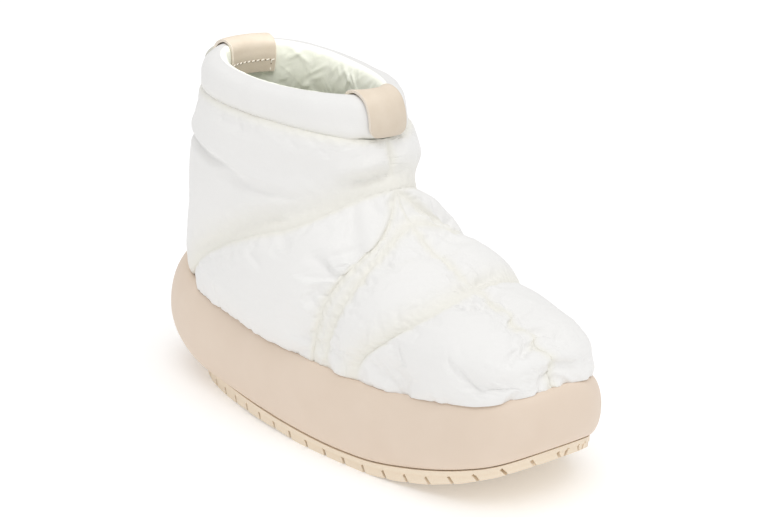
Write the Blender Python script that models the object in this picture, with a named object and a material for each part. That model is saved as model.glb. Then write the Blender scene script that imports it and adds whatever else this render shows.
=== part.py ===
"""Padded ankle boot for the right foot: a quilted upper and collar on a thick platform sole.

Sizes are millimetres, written to the meshes in metres. +X points to the toe, +Y to the wearer's left
(the inner side of this right boot) and +Z up. The origin is on the floor under the middle of the sole.
"""

from collections import namedtuple
from functools import partial

import bmesh
import bpy
import numpy as np

MM = 0.001
GAP = 0.3  # clearance between pieces that touch

# Upper: the sewn wall, and how far its padding stands out between the seams
WALL = 4.0
TOE_TIP = 139.0
TOE_CAP_START = 60.0
HEEL_CAP_START = -20.0
HEEL_CAP_LENGTH = 60.0
SIDE_RISE = 12.0  # from the feather line up to the widest level of the foot
SIDE_TUCK = 0.07  # how much the wall draws in from there down to the feather line
HEEL_TUCK = 0.4  # share of that at the back of the heel
FOOT_POWER = 2.35
SHAFT_POWER = 2.15
THROAT_BLEND = 15.0
SHAFT_CENTRE = -52.0

# Sole: overhang of the midsole round the upper, and the recess that the upper stands in
BULGE_LEVEL = 0.5
OUTSOLE_PROUD = 1.5
LUG_SETBACK = 0.7
LUG_BAND = 2.6
LUG_STEP = 0.2
LUG_PITCH = 14.5
NOTCH_WIDTH = 2.4
NOTCH_DEPTH = 3.0
NOTCH_REACH = (12.0, 24.0)
NOTCH_OVERRUN = 5.0  # past the edge and below the tread
LIP_DEPTH = 2.0  # of the rim's lip beside the upper
INSOLE_THICKNESS = 5.0
INSOLE_CLEARANCE = 0.6

# Leather straps and the cord lock on the drawcord
FRONT_LOOP_WIDTH = 22.5
REAR_LOOP_WIDTH = 29.0
STRAP_THICKNESS = 1.7
STRAP_CORNER = 4.5
LOOP_START = 2.5  # along the band from its sewn edge to the loop's lower end
LOOP_SPREAD = np.radians(40.0)  # how much of the band either side is looked at for a loop's bed
LOOP_STIFFNESS = 0.5  # share of the band's roundness that a loop bridges
STAY_WIDTH = 23.0
STAY_CHANNEL = 27.0
STAY_CLEAR = 3.5
STAY_DROP = 1.5
STAY_GAP = 0.5
CORD_DIAMETER = 2.5
LOCK_TILT = np.radians(34.0)
LOCK_END = np.array([-127.8, 0.0, 164.4])
LOCK_CORD_LEVEL = 2.4
LOCK_BORE = 3.6
LOCK_FLOOR = 0.9
HOLE_HALF_LENGTH = 12.0

# Mesh steps along each panel edge
HEEL_STEPS = 3
DIAGONAL_STEPS = 15
RUCHE_STEPS = 2
VAMP_STEPS = 6
TOE_STEPS = 11
CHANNEL_STEPS = 4
PANEL_ROWS = 10
COLLAR_STEPS = 48
COLLAR_ROWS = 12
LOOP_COLUMNS = 6
LOOP_ROWS = 12
LATHE_STEPS = 16
HOLE_STEPS = 12
CORD_STEPS = 16
STAY_STEPS = 6
SMOOTH_BELOW = np.radians(45.0)

# The foot's sections; fall is how much lower the crown is towards the inner side
Foot = namedtuple("Foot", "x outer inner crown fall")
FOOT = [
    Foot(-60, 44, 43, 122, 0),
    Foot(0, 50, 47, 119, 0),
    Foot(36, 48, 49, 110, 1),
    Foot(60, 45, 50, 101, 3),
    Foot(88, 41, 49.5, 93.5, 9),
    Foot(108, 41, 49.2, 90, 10),
    Foot(125, 43, 50.2, 87, 8),
    Foot(139, 44, 52, 84, 5),
]
FALL_START = -0.2  # across the foot, as a share of its half width
# The shaft's ovals; egg is how much wider they are at the back than at the front
Shaft = namedtuple("Shaft", "z back front half egg")
SHAFT = [
    Shaft(40, -133, 28, 45, 0),
    Shaft(60, -134, 31, 47, 0),
    Shaft(85, -133.5, 33, 46, 0.02),
    Shaft(106, -130.8, 31, 43, 0.08),
    Shaft(125, -128, 26, 38.5, 0.2),
    Shaft(140, -124.3, 21, 38, 0.18),
    Shaft(150, -121.8, 18.5, 38.5, 0.15),
    Shaft(160, -118.5, 16.5, 38, 0.16),
    Shaft(175, -114.5, 13.5, 38, 0.16),
    Shaft(190, -111.5, 11.5, 37.5, 0.16),
]
Line = namedtuple("Line", "x z")
FEATHER_LINE = [
    Line(-136, 67), Line(-125, 60.3), Line(-110, 56), Line(-91, 52.6), Line(-50, 50.3), Line(-12, 47.2),
    Line(35, 45.6), Line(72, 45.2), Line(100, 48.4), Line(123, 52.4), Line(140, 59),
]
FOOTBED_LINE = [Line(-140, 47), Line(-90, 45), Line(0, 39.5), Line(70, 37.2), Line(100, 39.5), Line(140, 49)]
COLLAR_SEAM_LINE = [Line(-125, 164), Line(-82, 161.5), Line(-31, 158), Line(20, 152.5)]
COLLAR_TOP_LINE = [Line(-125, 184), Line(-95, 180), Line(-50, 175.5), Line(20, 173.5)]
OUTSOLE_TOP_LINE = [
    Line(-130, 17.5), Line(-118, 11.5), Line(-104, 8.2), Line(-67, 7.6), Line(-31, 8.3), Line(6, 7.2),
    Line(44, 6.4), Line(63, 7.2), Line(82, 9.8), Line(100, 13.6), Line(119, 18.8), Line(134, 24),
    Line(147, 31.5),
]
TREAD_LINE = [
    Line(-130, 11.5), Line(-118, 5), Line(-104, 0.8), Line(-98, 0), Line(-58, 0), Line(-40, 1.2),
    Line(-5, 1.2), Line(12, 0), Line(62, 0), Line(82, 2.2), Line(100, 6), Line(119, 12), Line(134, 18),
    Line(147, 25),
]
Edge = namedtuple("Edge", "x overhang undercut")
SOLE_EDGE = [
    Edge(-136, 19, 30), Edge(-120, 18, 23), Edge(-95, 15, 15.5), Edge(-50, 11.5, 8), Edge(0, 10.5, 5),
    Edge(50, 10.5, 5), Edge(110, 11, 5.5), Edge(140, 12, 7),
]
# Where the midsole's rings lie on its bulging side, in degrees from its lower edge and from the bulge
LOWER_SIDE = (22, 45, 67, 90)
UPPER_SIDE = (32, 62, 90)
# Rows of the midsole's rolled rim, from the crest in to the upper: share of the overhang, drop below the rim
Roll = namedtuple("Roll", "share drop")
RIM_ROLL = [Roll(0.36, -1.0), Roll(0.17, -0.4), Roll(0.06, 1.4)]

# Points of the seams: along the boot, across it as a share of that side's half width, and up
Mark = namedtuple("Mark", "x across z")
HEEL_CORNER_X = -106.0
THROAT = Mark(27, 0, 129)
DIAGONAL_SEAM = [
    Mark(-88, 0.97, 72), Mark(-62, 1, 86), Mark(-35, 1, 98), Mark(-10, 0.95, 109), Mark(12, 0.6, 121),
]
THROAT_SEAM_TOP = Mark(37, 0, 112)
TOE_SEAM_TOP = Mark(88, 0, 92)
# The two seams of the ruched strip over the throat and the seam behind the toe, with where they meet the hem
SideSeams = namedtuple("SideSeams", "strip_back strip_front strip_foot toe toe_foot")
OUTER_SEAMS = SideSeams(
    strip_back=[
        Mark(24, 1, 60), Mark(30, 0.93, 83), Mark(36, 0.72, 97.5), Mark(38, 0.48, 106), Mark(33, 0.2, 117),
    ],
    strip_front=[
        Mark(34, 1, 60), Mark(41, 0.93, 80), Mark(45, 0.74, 93.5), Mark(44, 0.46, 104), Mark(41, 0.2, 110),
    ],
    strip_foot=(21.0, 31.0),
    toe=[
        Mark(56, 1, 56), Mark(72, 0.95, 71), Mark(81.5, 0.83, 79), Mark(87, 0.66, 84.5),
        Mark(89.5, 0.4, 88.5),
    ],
    toe_foot=50.0,
)
INNER_SEAMS = SideSeams(
    strip_back=[Mark(24, 1, 60), Mark(29, 0.95, 82), Mark(33, 0.55, 106), Mark(31, 0.2, 121)],
    strip_front=[Mark(32, 1, 60), Mark(37, 0.93, 80), Mark(41, 0.55, 100), Mark(39, 0.2, 111)],
    strip_foot=(21.0, 29.0),
    toe=[Mark(62, 0.98, 60), Mark(69, 0.86, 73), Mark(78, 0.55, 85), Mark(85, 0.2, 91)],
    toe_foot=57.0,
)
VAMP_RIDGE = [Mark(52, 0, 105), Mark(70, 0, 98)]
TOE_RIDGE = [Mark(105, 0, 87), Mark(122, 0, 80), Mark(133, 0, 71)]

# Padding of each panel: height, and how steeply it rises from each edge
Puff = namedtuple("Puff", "height left right bottom top")
SHAFT_PUFF = Puff(8.5, 9, 7, 3.2, 10)
QUARTER_PUFF = Puff(9.0, 3.5, 9, 7, 7)
RUCHE_PUFF = Puff(1.6, 2, 2, 8, 8)
VAMP_PUFF = Puff(8.0, 5, 5, 2, 3)
TOE_PUFF = Puff(6.5, 6, 3, 6, 2.6)

# Section of the collar band, from its sewn edge up the outside, over the rim and down the inside
Band = namedtuple("Band", "rise out")
COLLAR_BAND = [
    Band(0.0, -0.5), Band(0.12, 1.8), Band(0.36, 3.2), Band(0.63, 3.2), Band(0.85, 1.6), Band(0.97, -1.6),
    Band(1.0, -4.8), Band(0.92, -8.2), Band(0.65, -10.0), Band(0.3, -10.4), Band(0.0, -10.2),
]
# Route of the drawcord: out behind the rear loop, through the lock and back in at the stay
CORD_ROUTE = [
    (-121.8, 0, 173.9), (-124.2, 0, 172.8), (-126.5, 0, 170.5), (-129.8, 0, 165.7), (-133.1, 0, 160.8),
    (-135.3, 0, 155.6), (-134.4, 0, 150.6), (-131.0, 0, 147.6), (-128.0, 0, 146.9), (-125.9, 0, 146.9),
]
# Turned profiles of the cord lock: distance along its axis from the inner end, and radius
LOCK_BODY_PROFILE = [
    (0, 0), (0, 5.9), (0.7, 6.7), (1.6, 6.8), (3.4, 5.7), (5.4, 6.5), (6.0, 6.8), (6.6, 6.4),
]
BUTTON_PROFILE = [
    (5.9, 0), (5.9, 3.2), (8.4, 3.2), (8.4, 6.8), (8.9, 7.3), (10.4, 7.3), (11.0, 6.6), (11.2, 0),
]


def hermite(xs, ys):
    """A smooth function through the points xs, ys, held level outside them."""
    xs, ys = np.asarray(xs, float), np.asarray(ys, float)
    slopes = np.gradient(ys, xs)

    def at(x):
        x = np.clip(x, xs[0], xs[-1])
        i = np.clip(np.searchsorted(xs, x) - 1, 0, len(xs) - 2)
        step = xs[i + 1] - xs[i]
        t = (x - xs[i]) / step
        start = (1 + 2 * t) * (1 - t) ** 2 * ys[i] + t * (1 - t) ** 2 * step * slopes[i]
        return start + t * t * (3 - 2 * t) * ys[i + 1] - t * t * (1 - t) * step * slopes[i + 1]

    return at


def column(rows, key, value):
    """One column of a table as a smooth function of another."""
    return hermite([getattr(row, key) for row in rows], [getattr(row, value) for row in rows])


def straight(rows):
    """The z of a line table, straight between its rows, so that level stretches stay level."""
    xs = [row.x for row in rows]
    zs = [row.z for row in rows]
    return lambda x: np.interp(x, xs, zs)


foot_outer = column(FOOT, "x", "outer")
foot_inner = column(FOOT, "x", "inner")
foot_crown = column(FOOT, "x", "crown")
crown_fall = column(FOOT, "x", "fall")
shaft_back = column(SHAFT, "z", "back")
shaft_front = column(SHAFT, "z", "front")
shaft_half = column(SHAFT, "z", "half")
shaft_egg = column(SHAFT, "z", "egg")
feather_z = column(FEATHER_LINE, "x", "z")
footbed_z = column(FOOTBED_LINE, "x", "z")
collar_seam_z = column(COLLAR_SEAM_LINE, "x", "z")
collar_top_z = column(COLLAR_TOP_LINE, "x", "z")
outsole_top_z = column(OUTSOLE_TOP_LINE, "x", "z")
tread_z = straight(TREAD_LINE)
overhang = column(SOLE_EDGE, "x", "overhang")
undercut = column(SOLE_EDGE, "x", "undercut")


def foot_middle(x):
    return (foot_inner(x) - foot_outer(x)) / 2


def foot_half(x):
    return (foot_inner(x) + foot_outer(x)) / 2


def form_level(p):
    """Signed level of the sewn form: the foot and the shaft, run together at the throat."""
    x, y, z = p[..., 0], p[..., 1], p[..., 2]
    base = feather_z(x) + SIDE_RISE
    below = np.clip((base - z) / SIDE_RISE, 0, 2)
    half = foot_half(x) * (1 - SIDE_TUCK * below**2)
    spread = (y - foot_middle(x)) / half
    lowered = crown_fall(x) * np.clip((spread - FALL_START) / (1 - FALL_START), 0, 1)
    rise = np.clip(z - base, 0, None) / (foot_crown(x) - lowered - base)
    toe = np.clip(x - TOE_CAP_START, 0, None) / (TOE_TIP - TOE_CAP_START)
    heel = np.clip(HEEL_CAP_START - x, 0, None) / HEEL_CAP_LENGTH
    n = FOOT_POWER
    foot = ((np.abs(spread) ** n + rise**n + toe**n + heel**n) ** (1 / n) - 1) * foot_half(x)
    tuck = 1 - SIDE_TUCK * below**2
    middle = (shaft_front(z) + shaft_back(z)) / 2
    reach = (shaft_front(z) - shaft_back(z)) / 2
    forward = (x - middle) / reach
    along = np.abs(forward) / (1 - HEEL_TUCK * (1 - tuck))
    across = np.abs(y) / (shaft_half(z) * tuck * (1 - shaft_egg(z) * np.clip(forward, -1, 1)))
    n = SHAFT_POWER
    shaft = ((along**n + across**n) ** (1 / n) - 1) * shaft_half(z)
    mix = np.clip(0.5 + (shaft - foot) / (2 * THROAT_BLEND), 0, 1)
    return shaft * (1 - mix) + foot * mix - THROAT_BLEND * mix * (1 - mix)


def form_slope(p, step=0.05):
    return np.stack(
        [(form_level(p + step * axis) - form_level(p - step * axis)) / (2 * step) for axis in np.eye(3)], -1
    )


def onto_form(p):
    """Moves points along the form's slope until they lie on it."""
    p = np.array(p, float)
    for _ in range(12):
        slope = form_slope(p)
        p -= slope * (form_level(p) / (slope**2).sum(-1))[..., None]
    return p


def form_normal(p):
    slope = form_slope(p)
    return slope / np.linalg.norm(slope, axis=-1, keepdims=True)


def ring(height, angles, centre_x):
    """Points of the form round a centre, at the height given for each x."""
    low, high = np.full(len(angles), 5.0), np.full(len(angles), 220.0)
    heading = np.stack([np.cos(angles), np.sin(angles)], -1)

    def spot(reach):
        x = centre_x + heading[:, 0] * reach
        return np.stack([x, heading[:, 1] * reach, height(x)], -1)

    for _ in range(50):
        middle = (low + high) / 2
        outside = form_level(spot(middle)) > 0
        high = np.where(outside, middle, high)
        low = np.where(outside, low, middle)
    return spot((low + high) / 2)


def run_of(path):
    return np.concatenate([[0], np.cumsum(np.linalg.norm(np.diff(path, axis=0), axis=1))])


def at_shares(path, shares):
    run = run_of(path)
    return np.stack([np.interp(np.asarray(shares) * run[-1], run, path[:, k]) for k in range(3)], -1)


def evenly(path, steps):
    return at_shares(path, np.linspace(0, 1, steps + 1))


def smooth_path(points, steps=60):
    """An evenly stepped smooth path through a few points."""
    points = np.asarray(points, float)
    knots = run_of(points)
    dense = np.linspace(0, knots[-1], 20 * len(points))
    return evenly(np.stack([hermite(knots, points[:, k])(dense) for k in range(3)], -1), steps)


def seam(points, steps):
    """A seam on the form through a few points near it, from the first to the last of them."""
    path = evenly(onto_form(smooth_path(points)), steps)
    path[0], path[-1] = points[0], points[-1]
    return path


def placed(mark, side):
    """A mark's point on one side; marks with no share across lie in the boot's middle plane."""
    return [mark.x, mark.across * (foot_middle(mark.x) + side * foot_half(mark.x)), mark.z]


def coons(bottom, top, left, right):
    """The form between four seams, as a grid with a row for each step of left and right."""
    s = np.linspace(0, 1, len(bottom))[None, :, None]
    t = np.linspace(0, 1, len(left))[:, None, None]
    across = (1 - t) * bottom[None] + t * top[None]
    up = (1 - s) * left[:, None] + s * right[:, None]
    corners = (1 - t) * ((1 - s) * bottom[0] + s * bottom[-1]) + t * ((1 - s) * top[0] + s * top[-1])
    grid = across + up - corners
    grid[1:-1, 1:-1] = onto_form(grid[1:-1, 1:-1])
    return grid


def padding(puff, rows, columns):
    """Height of a padded panel over its grid, nothing at its seams."""
    s = np.linspace(0, 1, columns)[None, :]
    t = np.linspace(0, 1, rows)[:, None]
    across = (1 - (1 - s) ** puff.left) * (1 - s**puff.right)
    up = (1 - (1 - t) ** puff.bottom) * (1 - t**puff.top)
    return puff.height * across * up


class Skin:
    """Collects grids of points into one mesh."""

    def __init__(self):
        self.points = []
        self.faces = []

    def add(self, grid):
        grid = np.asarray(grid, float)
        rows, columns = grid.shape[:2]
        first = len(self.points)
        self.points.extend(grid.reshape(-1, 3))
        for r in range(rows - 1):
            for c in range(columns - 1):
                a = first + r * columns + c
                self.faces.append((a, a + 1, a + columns + 1, a + columns))


def finish_mesh(name, skin, material):
    """The closed object of a skin: its grids welded, faces outwards and smooth."""
    mesh = bpy.data.meshes.new(name)
    mesh.from_pydata([tuple(p * MM) for p in np.asarray(skin.points)], [], skin.faces)
    shape = bmesh.new()
    shape.from_mesh(mesh)
    bmesh.ops.remove_doubles(shape, verts=shape.verts, dist=1e-6)
    bmesh.ops.recalc_face_normals(shape, faces=shape.faces)
    shape.to_mesh(mesh)
    shape.free()
    mesh.shade_smooth()
    mesh.set_sharp_from_angle(angle=SMOOTH_BELOW)
    mesh.materials.append(material)
    return joined(bpy.data.objects.new(name, mesh))


def joined(obj):
    """Hangs a piece on the boot's empty."""
    obj.parent = boot
    bpy.context.scene.collection.objects.link(obj)
    return obj


def finish(name, colour, roughness):
    """A plain surface finish from an sRGB hex colour."""
    material = bpy.data.materials.new(name)
    material.use_nodes = True
    shader = material.node_tree.nodes["Principled BSDF"]
    parts = [int(colour[i : i + 2], 16) / 255 for i in (1, 3, 5)]
    linear = [c / 12.92 if c <= 0.04045 else ((c + 0.055) / 1.055) ** 2.4 for c in parts]
    shader.inputs["Base Color"].default_value = (*linear, 1)
    shader.inputs["Roughness"].default_value = roughness
    shader.inputs["Metallic"].default_value = 0
    return material


def feather_half(side):
    """One side of the feather line, from the back of the heel to the tip of the toe."""
    return ring(feather_z, side * np.linspace(np.pi, 0, 600), 0.0)


def feather_spot(half, x):
    """Where one side of the feather line passes x, as a share of its length."""
    return np.interp(x, half[:, 0], run_of(half) / run_of(half)[-1])


def between(path, start, end, steps):
    return at_shares(path, np.linspace(start, end, steps + 1))


def channel_edge(side, width):
    """The two ends of one edge of the strip up the back of the heel."""
    foot = feather_half(side)
    foot_share = np.interp(width / 2, np.abs(foot[:200, 1]), (run_of(foot) / run_of(foot)[-1])[:200])
    top = ring(collar_seam_z, side * np.linspace(np.pi, 0, 600), SHAFT_CENTRE)
    top_share = np.interp(width / 2, np.abs(top[:150, 1]), (run_of(top) / run_of(top)[-1])[:150])
    return foot, foot_share, top, top_share


def side_panels(side):
    """The padded panels of one side, each as its form grid with the padding on it."""
    foot, channel_foot, top, channel_top = channel_edge(side, STAY_CHANNEL)
    seams = OUTER_SEAMS if side < 0 else INNER_SEAMS
    corner = feather_spot(foot, HEEL_CORNER_X)
    back_foot, front_foot = [feather_spot(foot, x) for x in seams.strip_foot]
    toe_foot = feather_spot(foot, seams.toe_foot)
    heel_hem = between(foot, channel_foot, corner, HEEL_STEPS)
    quarter_hem = between(foot, corner, back_foot, DIAGONAL_STEPS)
    ruche_hem = between(foot, back_foot, front_foot, RUCHE_STEPS)
    vamp_hem = between(foot, front_foot, toe_foot, VAMP_STEPS)
    toe_hem = between(foot, toe_foot, 1, TOE_STEPS)

    def marks(*rows):
        return [placed(row, side) for row in rows]

    throat, seam_top, toe_top = onto_form(marks(THROAT, THROAT_SEAM_TOP, TOE_SEAM_TOP))
    toe_tip = toe_hem[-1]
    diagonal = seam([heel_hem[-1], *marks(*DIAGONAL_SEAM), throat], DIAGONAL_STEPS)
    throat_back = seam([quarter_hem[-1], *marks(*seams.strip_back), throat], PANEL_ROWS)
    throat_front = seam([ruche_hem[-1], *marks(*seams.strip_front), seam_top], PANEL_ROWS)
    toe_seam = seam([vamp_hem[-1], *marks(*seams.toe), toe_top], PANEL_ROWS)
    ruche_ridge = seam([throat, seam_top], RUCHE_STEPS)
    vamp_ridge = seam([seam_top, *marks(*VAMP_RIDGE), toe_top], VAMP_STEPS)
    toe_ridge = seam([toe_top, *marks(*TOE_RIDGE), toe_tip], TOE_STEPS)

    shaft_bottom = np.concatenate([heel_hem, diagonal[1:]])
    shares = channel_top + (1 - channel_top) * run_of(shaft_bottom) / run_of(shaft_bottom)[-1]
    shaft_top = at_shares(top, shares)
    back = seam([heel_hem[0], shaft_top[0]], PANEL_ROWS)
    front = seam([throat, shaft_top[-1]], PANEL_ROWS)
    still = np.repeat(heel_hem[-1:], PANEL_ROWS + 1, axis=0)
    tip = np.repeat(toe_tip[None], PANEL_ROWS + 1, axis=0)
    return [
        (coons(shaft_bottom, shaft_top, back, front), SHAFT_PUFF),
        (coons(quarter_hem, diagonal, still, throat_back), QUARTER_PUFF),
        (coons(ruche_hem, ruche_ridge, throat_back, throat_front), RUCHE_PUFF),
        (coons(vamp_hem, vamp_ridge, throat_front, toe_seam), VAMP_PUFF),
        (coons(toe_hem, toe_ridge, toe_seam, tip), TOE_PUFF),
    ]


def back_strip(width, steps, foot_lift=0.0, top_drop=0.0):
    """The form under a strip up the back of the heel, from the feather line to the collar seam."""
    bottoms, tops = [], []
    for side in (-1, 1):
        foot, foot_share, top, top_share = channel_edge(side, width)
        bottoms.append(between(foot, foot_share, 0, steps // 2) + [0, 0, foot_lift])
        tops.append(between(top, top_share, 0, steps // 2) - [0, 0, top_drop])
    bottom = np.concatenate([bottoms[0], bottoms[1][-2::-1]])
    top = np.concatenate([tops[0], tops[1][-2::-1]])
    if foot_lift:
        bottom, top = onto_form(bottom), onto_form(top)
    edges = [seam([bottom[end], top[end]], PANEL_ROWS) for end in (0, -1)]
    return coons(bottom, top, *edges)


def hem_of(grids, strip):
    """The lower edge of the upper as a loop, from the back round the outer side to the toe and home."""
    sides = []
    middle = CHANNEL_STEPS // 2
    for index, strip_half in ((0, strip[0, middle::-1]), (1, strip[0, middle:])):
        shaft, *others = [grid for grid, _ in grids[index]]
        pieces = [strip_half, shaft[0, 1 : HEEL_STEPS + 1], *[grid[0, 1:] for grid in others]]
        sides.append(np.concatenate(pieces))
    outer, inner = sides
    return np.concatenate([outer, inner[-2:0:-1]])


def plan_normals(loop):
    """Outward headings of a closed loop, seen from above."""
    along = np.roll(loop, -1, axis=0) - np.roll(loop, 1, axis=0)
    heading = np.stack([along[:, 1], -along[:, 0]], -1)
    heading /= np.linalg.norm(heading, axis=1, keepdims=True)
    outward = np.sign((heading * (loop[:, :2] - loop[:, :2].mean(0))).sum())
    return np.concatenate([heading * outward, np.zeros((len(loop), 1))], axis=1)


def moved_out(loop, distance, height):
    """A loop moved outwards in plan, at a height that may depend on x."""
    spread = loop + plan_normals(loop) * np.broadcast_to(distance, (len(loop),))[:, None]
    spread[:, 2] = height(spread[:, 0]) if callable(height) else height
    return spread


def closed(loop):
    return np.concatenate([loop, loop[:1]])


def ladder(loop):
    """Rungs from one side of a loop to the other, which close it."""
    half = len(loop) // 2
    return np.stack([loop[: half + 1], np.roll(loop, -1, axis=0)[::-1][: half + 1]], axis=1)


def make_upper(grids, strip, hem, material):
    skin = Skin()
    panels = [panel for side in grids for panel in side] + [(strip, Puff(0, 2, 2, 2, 2))]
    for grid, puff in panels:
        normals = form_normal(grid)
        skin.add(grid + normals * padding(puff, *grid.shape[:2])[..., None])
        skin.add(grid - normals * WALL)
    inside = hem - form_normal(hem) * WALL
    foot_outside, foot_inside = hem.copy(), inside.copy()
    foot_outside[:, 2] = footbed_z(hem[:, 0]) + GAP
    foot_inside[:, 2] = footbed_z(hem[:, 0]) + GAP
    skin.add(np.stack([closed(loop) for loop in (hem, foot_outside, foot_inside, inside)]))
    for grid in [grids[0][0][0], grids[1][0][0], strip]:
        edge = grid[-1]
        skin.add(np.stack([edge, edge - form_normal(edge) * WALL]))
    return finish_mesh("upper", skin, material)


def midsole_rings(hem):
    """Loops of the midsole from its lower edge up the bulging side and over the rim to the recess floor."""
    reach, under = overhang(hem[:, 0]), undercut(hem[:, 0])
    rim = feather_z(hem[:, 0])
    lower = moved_out(hem, reach - under, lambda x: outsole_top_z(x) + GAP)
    bulge = lower[:, 2] + BULGE_LEVEL * (rim - lower[:, 2])
    rings = [lower]
    for angle in np.radians(LOWER_SIDE):
        level = bulge - (bulge - lower[:, 2]) * np.cos(angle)
        rings.append(moved_out(hem, reach - under * (1 - np.sin(angle)), level))
    crest = RIM_ROLL[0]
    for angle in np.radians(UPPER_SIDE):
        inward = reach * (1 - crest.share) * (1 - np.cos(angle))
        rings.append(moved_out(hem, reach - inward, bulge + (rim - crest.drop - bulge) * np.sin(angle)))
    for row in RIM_ROLL[1:]:
        rings.append(moved_out(hem, np.maximum(reach * row.share, GAP), rim - row.drop))
    floor = footbed_z(hem[:, 0])
    rings.append(moved_out(hem, GAP, rim - RIM_ROLL[-1].drop - LIP_DEPTH))
    rings.append(moved_out(hem, GAP, floor))
    return rings


def make_midsole(hem, material):
    skin = Skin()
    rings = midsole_rings(hem)
    skin.add(np.stack([closed(loop) for loop in rings]))
    skin.add(ladder(rings[0]))
    skin.add(ladder(rings[-1]))
    return finish_mesh("midsole", skin, material)


def make_insole(hem, material):
    skin = Skin()
    inset = -(WALL + INSOLE_CLEARANCE)
    low = moved_out(hem, inset, footbed_z(hem[:, 0]) + GAP)
    high = low + [0, 0, INSOLE_THICKNESS]
    skin.add(np.stack([closed(low), closed(high)]))
    skin.add(ladder(low))
    skin.add(ladder(high))
    return finish_mesh("insole", skin, material)


def notch(place, outward, reach):
    """The eight corners of one tread notch, from outside the edge inwards, following the tread's rise."""
    along = np.array([-outward[1], outward[0], 0]) * NOTCH_WIDTH / 2
    corners = []
    for end in (place + outward * NOTCH_OVERRUN, place - outward * reach):
        ground = tread_z(end[0])
        for across in (-along, along):
            for height in (ground - NOTCH_OVERRUN, ground + NOTCH_DEPTH):
                corners.append([end[0] + across[0], end[1] + across[1], height])
    return corners


def make_outsole(hem, material):
    bed = midsole_rings(hem)[0] - [0, 0, GAP]
    top = moved_out(bed, OUTSOLE_PROUD, bed[:, 2])
    band = moved_out(bed, OUTSOLE_PROUD, bed[:, 2] - LUG_BAND)
    lug_top = moved_out(bed, OUTSOLE_PROUD - LUG_SETBACK, bed[:, 2] - LUG_BAND - LUG_STEP)
    tread = moved_out(bed, OUTSOLE_PROUD - LUG_SETBACK, tread_z)
    skin = Skin()
    skin.add(np.stack([closed(loop) for loop in (bed, top, band, lug_top, tread)]))
    skin.add(ladder(bed))
    skin.add(ladder(tread))
    outsole = finish_mesh("outsole", skin, material)

    edge = closed(tread)
    outward = plan_normals(tread)
    count = int(run_of(edge)[-1] / LUG_PITCH)
    cutter = Skin()
    for k in range(count):
        share = (k + 0.5) / count
        place = at_shares(edge, [share])[0]
        nearest = np.argmin(np.linalg.norm(tread - place, axis=1))
        first = len(cutter.points)
        cutter.points.extend(np.array(notch(place, outward[nearest], NOTCH_REACH[k % 2])))
        for face in ((0, 1, 3, 2), (4, 5, 7, 6), (0, 1, 5, 4), (2, 3, 7, 6), (0, 2, 6, 4), (1, 3, 7, 5)):
            cutter.faces.append(tuple(first + i for i in face))
    notches = finish_mesh("tread_notches", cutter, material)
    notches.hide_render = True
    notches.display_type = "WIRE"
    cut = outsole.modifiers.new("Notches", "BOOLEAN")
    cut.operation = "DIFFERENCE"
    cut.object = notches
    return outsole


def band_z(rise, x):
    """Height of the collar band over x, at a share of its rise."""
    return collar_seam_z(x) + GAP + rise * (collar_top_z(x) - collar_seam_z(x))


def collar_sections(angles, steps):
    """The collar band's sections at the given angles: their points, and headings out of the band."""
    rows = []
    for row in COLLAR_BAND:
        spots = ring(partial(band_z, row.rise), angles, SHAFT_CENTRE)
        headings = form_normal(spots) * [1, 1, 0]
        rows.append(spots + headings / np.linalg.norm(headings, axis=1, keepdims=True) * row.out)
    paths = np.array([smooth_path(points, steps) for points in np.stack(rows, axis=1)])
    sideways = np.stack([np.sin(angles), -np.cos(angles), 0 * angles], -1)[:, None]
    outward = np.cross(np.gradient(paths, axis=1), sideways)
    return paths, outward / np.linalg.norm(outward, axis=2, keepdims=True)


def make_collar(material):
    skin = Skin()
    sections, _ = collar_sections(np.linspace(-np.pi, np.pi, COLLAR_STEPS + 1), COLLAR_ROWS)
    skin.add(np.concatenate([sections, sections[:, :1]], axis=1))
    return finish_mesh("collar", skin, material)


def loop_bed(ahead, offsets):
    """The bed of a loop on the band, at even offsets from the boot's middle plane, and its headings."""
    turns = np.linspace(-LOOP_SPREAD, LOOP_SPREAD, 41) + (0.0 if ahead else np.pi)
    sections, outward = collar_sections(turns, 60)
    if not ahead:
        sections, outward = sections[::-1], outward[::-1]
    bed = np.empty((len(offsets), *sections.shape[1:]))
    headings = np.empty(bed.shape)
    for row in range(sections.shape[1]):
        for k in range(3):
            bed[:, row, k] = np.interp(offsets, sections[:, row, 1], sections[:, row, k])
            headings[:, row, k] = np.interp(offsets, sections[:, row, 1], outward[:, row, k])
    along = headings[len(offsets) // 2]
    level = (bed * along).sum(-1)
    bed += LOOP_STIFFNESS * (level.max(axis=0) - level)[..., None] * along
    return bed, headings + along


def make_loop(name, ahead, width, lift, inside_share, material):
    """A leather loop over the collar's rim: its gap to the band grows from the sewn ends to the rim."""
    half = width / 2
    offsets = np.linspace(-half, half, LOOP_COLUMNS + 1)
    under, over = [], []
    for offset, path, outward in zip(offsets, *loop_bed(ahead, offsets)):
        beyond = max(abs(offset) - (half - STRAP_CORNER), 0)
        corner = STRAP_CORNER - np.sqrt(STRAP_CORNER**2 - beyond**2)
        run = run_of(path)
        want = np.linspace(LOOP_START + corner, run[-1] * inside_share, LOOP_ROWS + 1)
        spot = np.stack([np.interp(want, run, path[:, k]) for k in range(3)], -1)
        heading = np.stack([np.interp(want, run, outward[:, k]) for k in range(3)], -1)
        heading /= np.linalg.norm(heading, axis=1, keepdims=True)
        share = (want - want[0]) / (want[-1] - want[0])
        gap = 2 * GAP + lift * np.sin(np.pi * share) ** 2
        under.append(spot + heading * gap[:, None])
        over.append(spot + heading * (gap + STRAP_THICKNESS)[:, None])
    return finish_mesh(name, slab(np.array(under), np.array(over)), material)


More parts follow.
